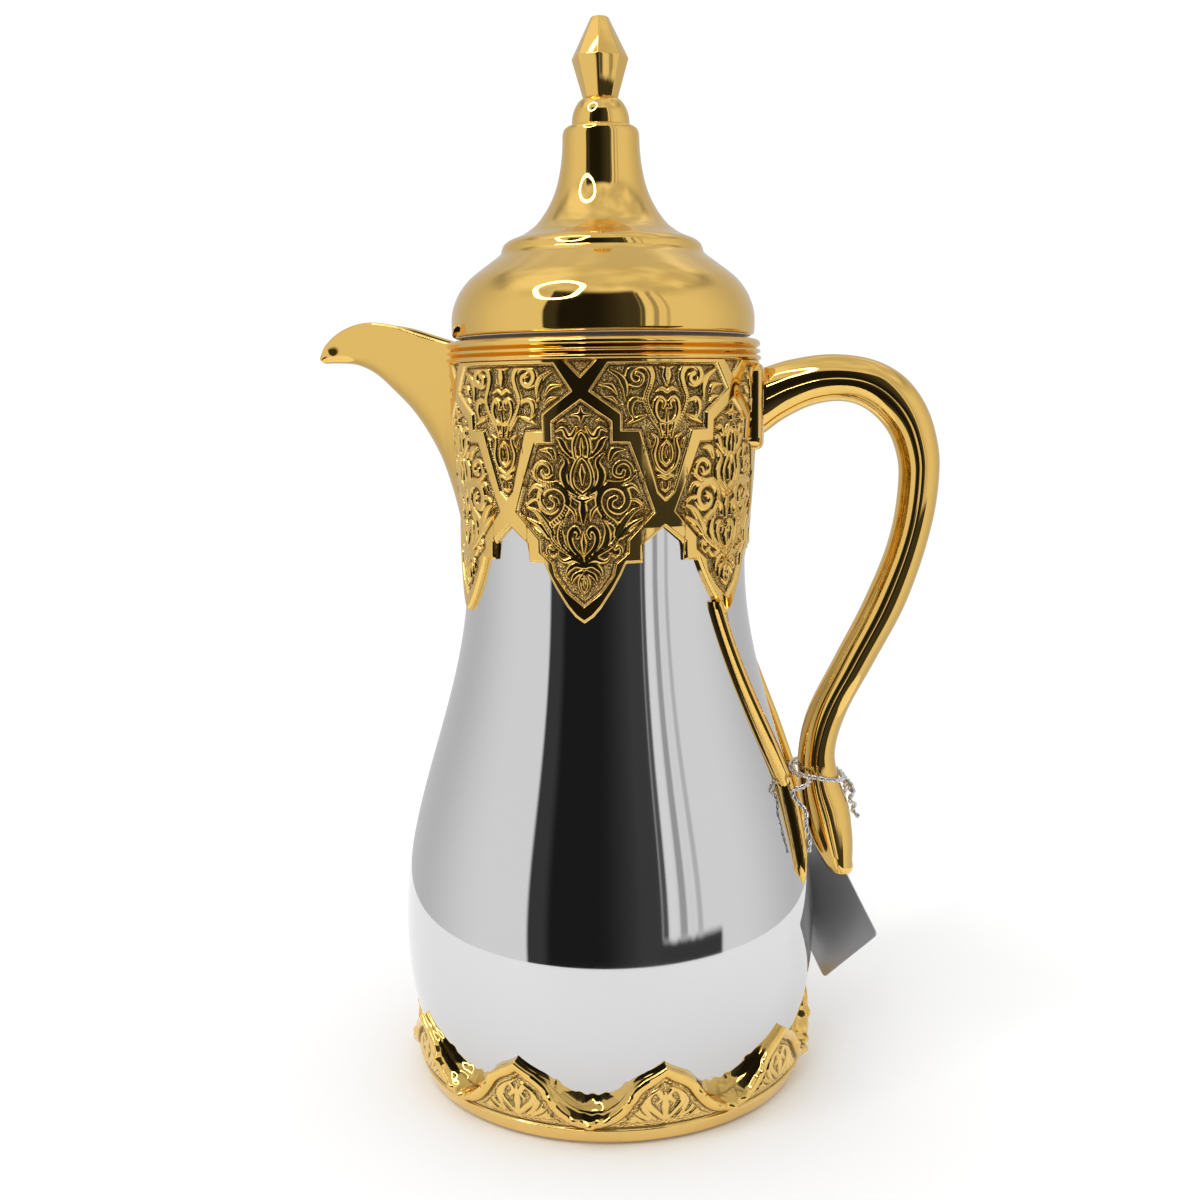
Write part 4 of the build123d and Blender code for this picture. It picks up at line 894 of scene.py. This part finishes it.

# plate between the neck and the handle, with rounded corners and rounded front edges
bm = bmesh.new()
bmesh.ops.create_cube(bm, size=1)
bmesh.ops.scale(bm, vec=(4.6, 22.4, 27.0), verts=bm.verts)
bmesh.ops.translate(bm, vec=(48.9, 0, 219.8), verts=bm.verts)
uprights = [edge for edge in bm.edges if abs(edge.verts[0].co.x - edge.verts[1].co.x) > 1]
bmesh.ops.bevel(bm, geom=uprights, offset=4.0, segments=8, profile=0.5, affect="EDGES", material=-1)
front = [edge for edge in bm.edges if all(vert.co.x > 51 for vert in edge.verts)]
bmesh.ops.bevel(bm, geom=front, offset=1.9, segments=6, profile=0.5, affect="EDGES", material=-1)
finished(bm, "handle_plate", "pot", "gold_plate", ["handle_flange"], sharp=50)


# ---------------------------------------------------------------- stays
STAY_ANGLES = [(68.0, 14.7), (84.0, 13.1), (100.0, 11.8), (160.0, 35.6)]
STAY_HALF_WIDTHS = [(0, 0.15), (0.02, 0.9), (0.06, 1.6), (0.14, 2.2), (0.5, 2.45), (0.8, 2.1), (1, 1.9)]
STAY_PROUD = [(0, 0.2), (0.03, 1.4), (0.1, 2.6), (0.5, 3.4), (1, 3.0)]


def stay_centre(height, side):
    """Middle of a stay where it lies on the body."""
    angle = radians(between(STAY_ANGLES, height)) * side
    reach = float(body_radius(height))
    return Vector((reach * cos(angle), reach * sin(angle), height))


def stay_bm(side):
    """Rounded rod that swings down the body from under a petal to a pointed foot."""
    rows = 80
    bm = bmesh.new()
    bmesh.ops.create_grid(bm, x_segments=28, y_segments=rows, size=1)
    places = []
    for row in range(rows + 1):
        share = row / rows
        height = 68.0 + (161.0 - 68.0) * share
        centre = stay_centre(height, side)
        up = (stay_centre(height + 2, side) - stay_centre(height - 2, side)).normalized()
        normal = Vector((centre.x, centre.y, 0)).normalized()
        normal = (normal - up * normal.dot(up)).normalized()
        sideways = normal.cross(up)
        width = between(STAY_HALF_WIDTHS, share)
        proud = between(STAY_PROUD, share)
        for step in range(29):
            turn = 2 * pi * (step % 28) / 28
            x = abs(cos(turn)) ** 0.85 * (1 if cos(turn) > 0 else -1)
            y = sin(turn)
            places.append(centre + sideways * width * x + normal * (proud * y if y > 0 else 0.8 * y))
    bm.verts.ensure_lookup_table()
    for vert, place in zip(bm.verts, places):
        vert.co = place
    bmesh.ops.remove_doubles(bm, verts=bm.verts, dist=1e-4)
    bmesh.ops.holes_fill(bm, edges=[edge for edge in bm.edges if edge.is_boundary], sides=0)
    return bm


finished(stay_bm(-1), "stay_rod_front", "pot", "gold_plate", ["stay_front"], sharp=60)
finished(stay_bm(1), "stay_rod_back", "pot", "gold_plate", ["stay_back"], sharp=60)

# ---------------------------------------------------------------- tag and its wire
TAG_ACROSS = Vector((0.576, -0.408, 0.711)).normalized()
TAG_UP = Vector((-0.414, 0.604, 0.682)).normalized()
TAG_OUT = TAG_ACROSS.cross(TAG_UP)
TAG_CORNER = Vector((72.6, 17.4, 21.9))


def card_place(across, up, out):
    """A point of the card, which bows very slightly along its length."""
    bow = 0.35 * sin(pi * up / 46.0) + 0.12 * sin(2 * pi * across / 30.0)
    return TAG_CORNER + TAG_ACROSS * across + TAG_UP * up + TAG_OUT * (out + bow)


bm = bmesh.new()
bmesh.ops.create_grid(bm, x_segments=30, y_segments=46, size=0.5)
bmesh.ops.scale(bm, vec=(30.0, 46.0, 1), verts=bm.verts)
bmesh.ops.translate(bm, vec=(15.0, 23.0, 0), verts=bm.verts)
hole_centre = Vector((15.0, 43.0, 0))
pierced = [vert for vert in bm.verts if (vert.co - hole_centre).length < 1.1]
bmesh.ops.delete(bm, geom=pierced, context="VERTS")
for vert in bm.verts:
    offset = vert.co - hole_centre
    if offset.length < 1.9:
        vert.co = hole_centre + offset.normalized() * 1.4
    corner = Vector((min(max(vert.co.x, 1.5), 28.5), min(max(vert.co.y, 1.5), 44.5), 0))
    if (vert.co - corner).length > 1.5:
        vert.co = corner + (vert.co - corner).normalized() * 1.5
bmesh.ops.recalc_face_normals(bm, faces=bm.faces)
bmesh.ops.solidify(bm, geom=bm.faces[:], thickness=0.45)
for vert in bm.verts:
    vert.co = card_place(vert.co.x, vert.co.y, vert.co.z)
finished(bm, "silver_tag", "tag", "silver_card", ["hang_tag"], sharp=40)


def wire_route(points):
    """Points along a smooth wire, read back from its NURBS line, in millimetres."""
    curve = bpy.data.curves.new("wire_route", "CURVE")
    curve.dimensions = "3D"
    curve.resolution_u = 10
    spline = curve.splines.new("NURBS")
    spline.points.add(len(points) - 1)
    for point, place in zip(spline.points, points):
        point.co = (*place, 1)
    spline.order_u = 3
    spline.use_endpoint_u = True
    holder = bpy.data.objects.new("wire_route", curve)
    bpy.context.scene.collection.objects.link(holder)
    line = bpy.data.meshes.new_from_object(holder)
    places = [vert.co.copy() for vert in line.vertices]
    bpy.data.objects.remove(holder)
    bpy.data.meshes.remove(line)
    return places


def add_wire(bm, places, radius, sides=10):
    """A round wire along the places, with closed ends."""
    normal = Vector((0, 0, 1))
    rings = []
    for index, place in enumerate(places):
        ahead = places[min(index + 1, len(places) - 1)] - places[max(index - 1, 0)]
        ahead.normalize()
        normal = (normal - ahead * normal.dot(ahead)).normalized()
        if normal.length < 0.5:
            normal = ahead.orthogonal().normalized()
        side = ahead.cross(normal)
        ring = bmesh.ops.create_circle(bm, segments=sides, radius=1, cap_ends=index in (0, len(places) - 1))
        for step, vert in enumerate(ring["verts"]):
            turn = 2 * pi * step / sides
            vert.co = place + (normal * cos(turn) + side * sin(turn)) * radius
        rings.append(list({edge for vert in ring["verts"] for edge in vert.link_edges}))
    for below, above in zip(rings, rings[1:]):
        bmesh.ops.bridge_loops(bm, edges=below + above)


def twisted(places, radius, pitch, phase):
    """One strand of two twisted together along the places."""
    strand = []
    travelled = 0.0
    normal = Vector((0, 0, 1))
    for index, place in enumerate(places):
        ahead = places[min(index + 1, len(places) - 1)] - places[max(index - 1, 0)]
        ahead.normalize()
        normal = (normal - ahead * normal.dot(ahead)).normalized()
        side = ahead.cross(normal)
        if index:
            travelled += (place - places[index - 1]).length
        turn = 2 * pi * travelled / pitch + phase
        strand.append(place + (normal * cos(turn) + side * sin(turn)) * radius)
    return strand


def refined(places, gap):
    """The same line with a place about every gap millimetres."""
    line = [places[0]]
    for start, end in zip(places, places[1:]):
        count = max(1, int((end - start).length / gap + 0.5))
        line += [start.lerp(end, step / count) for step in range(1, count + 1)]
    return line


# twice round the handle's tail, across to the near stay, and down to the card
HANDLE_TURNS = [
    (60.6, -3.0, 103.4),
    (61.2, 6.4, 103.2),
    (66.0, 9.6, 102.4),
    (73.0, 9.4, 100.6),
    (77.6, 5.4, 99.4),
    (78.0, -4.8, 99.2),
    (73.6, -9.4, 100.2),
    (66.0, -9.8, 101.8),
    (61.4, -6.6, 102.0),
    (60.4, 3.0, 101.6),
    (62.2, 8.6, 101.0),
    (69.0, 10.2, 100.4),
    (76.8, 7.8, 98.2),
    (79.4, 2.0, 97.4),
    (80.2, 4.6, 93.0),
]
STAY_HOOK = [
    (62.6, -8.6, 101.6),
    (65.2, -11.0, 102.4),
    (67.2, -14.2, 101.6),
    (65.4, -18.4, 100.6),
    (61.0, -18.6, 99.8),
    (61.8, -17.2, 96.4),
    (66.2, -17.6, 92.4),
    (65.4, -19.0, 87.6),
    (67.4, -18.2, 83.2),
    (66.6, -19.4, 79.6),
]
LOOSE_END = [
    (79.4, 3.0, 97.2),
    (82.0, 1.4, 94.0),
    (79.2, -0.6, 91.4),
    (82.4, 2.6, 88.8),
    (80.2, 5.8, 86.6),
    (83.2, 4.6, 84.2),
]
CARD_DROP = [
    (77.4, 6.4, 98.0),
    (79.6, 9.0, 92.4),
    (76.6, 16.0, 85.0),
    (72.6, 23.4, 77.2),
    (67.6, 30.2, 69.6),
    (63.2, 34.9, 64.4),
    (64.6, 36.4, 63.3),
    (66.8, 38.4, 62.6),
]
bm = bmesh.new()
for route in (HANDLE_TURNS, STAY_HOOK, LOOSE_END, CARD_DROP):
    places = refined(wire_route(route), 0.45)
    for phase in (0, pi):
        add_wire(bm, twisted(places, 0.42, 4.6, phase), 0.40, 8)
finished(bm, "twisted_wire", "pot", "tie_wire", ["tag_wire"], sharp=60)

# ---------------------------------------------------------------- floor, light and camera
bm = bmesh.new()
bmesh.ops.create_circle(bm, segments=160, radius=0.262, cap_ends=True)
floor_mesh = bpy.data.meshes.new("studio_floor")
bm.to_mesh(floor_mesh)
bm.free()
floor = bpy.data.objects.new("studio_floor", floor_mesh)
bpy.context.scene.collection.objects.link(floor)
floor_paint, floor_tree, floor_shader = new_material("floor_white")
floor_shader.inputs["Base Color"].default_value = (0.90, 0.90, 0.90, 1)
floor_shader.inputs["Roughness"].default_value = 0.6
floor_shader.inputs["Specular IOR Level"].default_value = 0.2
floor_mesh.materials.append(floor_paint)

scene = bpy.context.scene
scene.view_settings.view_transform = "Standard"

world = bpy.data.worlds.new("studio")
world.use_nodes = True
scene.world = world
tree = world.node_tree
links = tree.links
background = tree.nodes["Background"]
background.inputs["Color"].default_value = (1, 1, 1, 1)
direction = add_node(tree, "ShaderNodeTexCoord").outputs["Generated"]
toward = Vector((cos(CAMERA_AZIMUTH), sin(CAMERA_AZIMUTH), 0))
rightward = Vector((-toward.y, toward.x, 0))


def along_axis(axis):
    dot = add_node(tree, "ShaderNodeVectorMath", operation="DOT_PRODUCT")
    links.new(direction, dot.inputs[0])
    dot.inputs[1].default_value = axis
    return dot.outputs["Value"]


def maths(operation, first, second=None):
    node = add_node(tree, "ShaderNodeMath", operation=operation)
    for number, value in enumerate((first, second)):
        if value is None:
            continue
        if isinstance(value, (int, float)):
            node.inputs[number].default_value = value
        else:
            links.new(value, node.inputs[number])
    return node.outputs[0]


ahead = along_axis(toward)
right = along_axis(rightward)
upward = along_axis(Vector((0, 0, 1)))
bearing = maths("MULTIPLY", maths("ARCTAN2", right, ahead), 180 / pi)
elevation = maths("MULTIPLY", maths("ARCSINE", upward), 180 / pi)


def window(value, low, high, soft):
    """1 between low and high, falling to 0 over soft at each side."""
    rise = spread(tree, value, 0, 1, from_low=low - soft / 2, from_high=low + soft / 2)
    fall = spread(tree, value, 1, 0, from_low=high - soft / 2, from_high=high + soft / 2)
    return maths("MULTIPLY", rise, fall)


def laid_over(below, mask, value):
    """below where mask is 0, value where it is 1."""
    node = add_node(tree, "ShaderNodeMix", data_type="FLOAT")
    links.new(mask, node.inputs[0])
    if isinstance(below, (int, float)):
        node.inputs[2].default_value = below
    else:
        links.new(below, node.inputs[2])
    node.inputs[3].default_value = value
    return node.outputs[0]


brightness = laid_over(0.62, window(bearing, -100, 100, 60), 0.88)
brightness = laid_over(brightness, window(elevation, 47, 91, 10), 0.90)
cloud = spread(tree, noise(tree, direction, 1.7, 2.0), -0.24, 0.14, from_low=0.35, from_high=0.62)
cloud = maths("MULTIPLY", cloud, window(elevation, 38, 91, 12))
brightness = maths("ADD", brightness, cloud)
dark = maths("MULTIPLY", window(bearing, -45, 28, 2.5), window(elevation, -95, 46, 5))
brightness = laid_over(brightness, dark, 0.014)
haze = maths("MULTIPLY", dark, window(bearing, -45, -34, 6))
brightness = maths("ADD", brightness, maths("MULTIPLY", haze, 0.035))
glow = maths("MULTIPLY", dark, spread(tree, bearing, 0.0, 0.045, from_low=-8, from_high=26))
brightness = maths("ADD", brightness, glow)
low_dark = maths("MULTIPLY", window(bearing, 26, 62, 2.5), window(elevation, -95, -10, 3))
brightness = laid_over(brightness, low_dark, 0.05)
STREAKS = ((29.5, 3.0, 0.10), (34.0, 3.5, 0.92), (39.5, 4.0, 0.42), (44.5, 2.5, 0.86), (49.0, 3.0, 0.60))
for middle, width, level in STREAKS:
    across = window(bearing, middle - width / 2, middle + width / 2, 1.6)
    streak = maths("MULTIPLY", across, window(elevation, -10, 44, 4))
    brightness = laid_over(brightness, streak, level)
sheen = maths("MULTIPLY", window(bearing, 16, 25, 5), window(elevation, -95, 44, 5))
brightness = laid_over(brightness, sheen, 0.055)


def ring_light(side, height, radius, thickness, level):
    """A round studio light whose tube is seen as a thin bright ring."""
    lean = radians(height)
    turn = CAMERA_AZIMUTH + radians(side)
    toward_light = Vector((cos(turn) * cos(lean), sin(turn) * cos(lean), sin(lean)))
    apart = maths("MULTIPLY", maths("ARCCOSINE", along_axis(toward_light)), 180 / pi)
    return laid_over(brightness, window(apart, radius - thickness / 2, radius + thickness / 2, 0.8), level)


brightness = ring_light(-44, 50, 15.0, 3.2, 9.0)
# the sky seen straight on is white; only reflections and light come from the studio
light_path = add_node(tree, "ShaderNodeLightPath")
brightness = laid_over(brightness, light_path.outputs["Is Diffuse Ray"], 1.16)
links.new(laid_over(brightness, light_path.outputs["Is Camera Ray"], 1.03), background.inputs["Strength"])


camera_data = bpy.data.cameras.new("camera")
camera_data.lens = 41.63
camera_data.sensor_width = 36.0
camera_data.shift_x = -6.4 / 1200
camera = bpy.data.objects.new("camera", camera_data)
scene.collection.objects.link(camera)
heading = Matrix.Rotation(radians(8.0), 4, "Z")
pitch = Matrix.Rotation(radians(90 - 8.39), 4, "X")
roll = Matrix.Rotation(radians(-0.69), 4, "Z")
camera.matrix_world = Matrix.Translation((0.0630, -0.4483, 0.2238)) @ heading @ pitch @ roll
scene.camera = camera
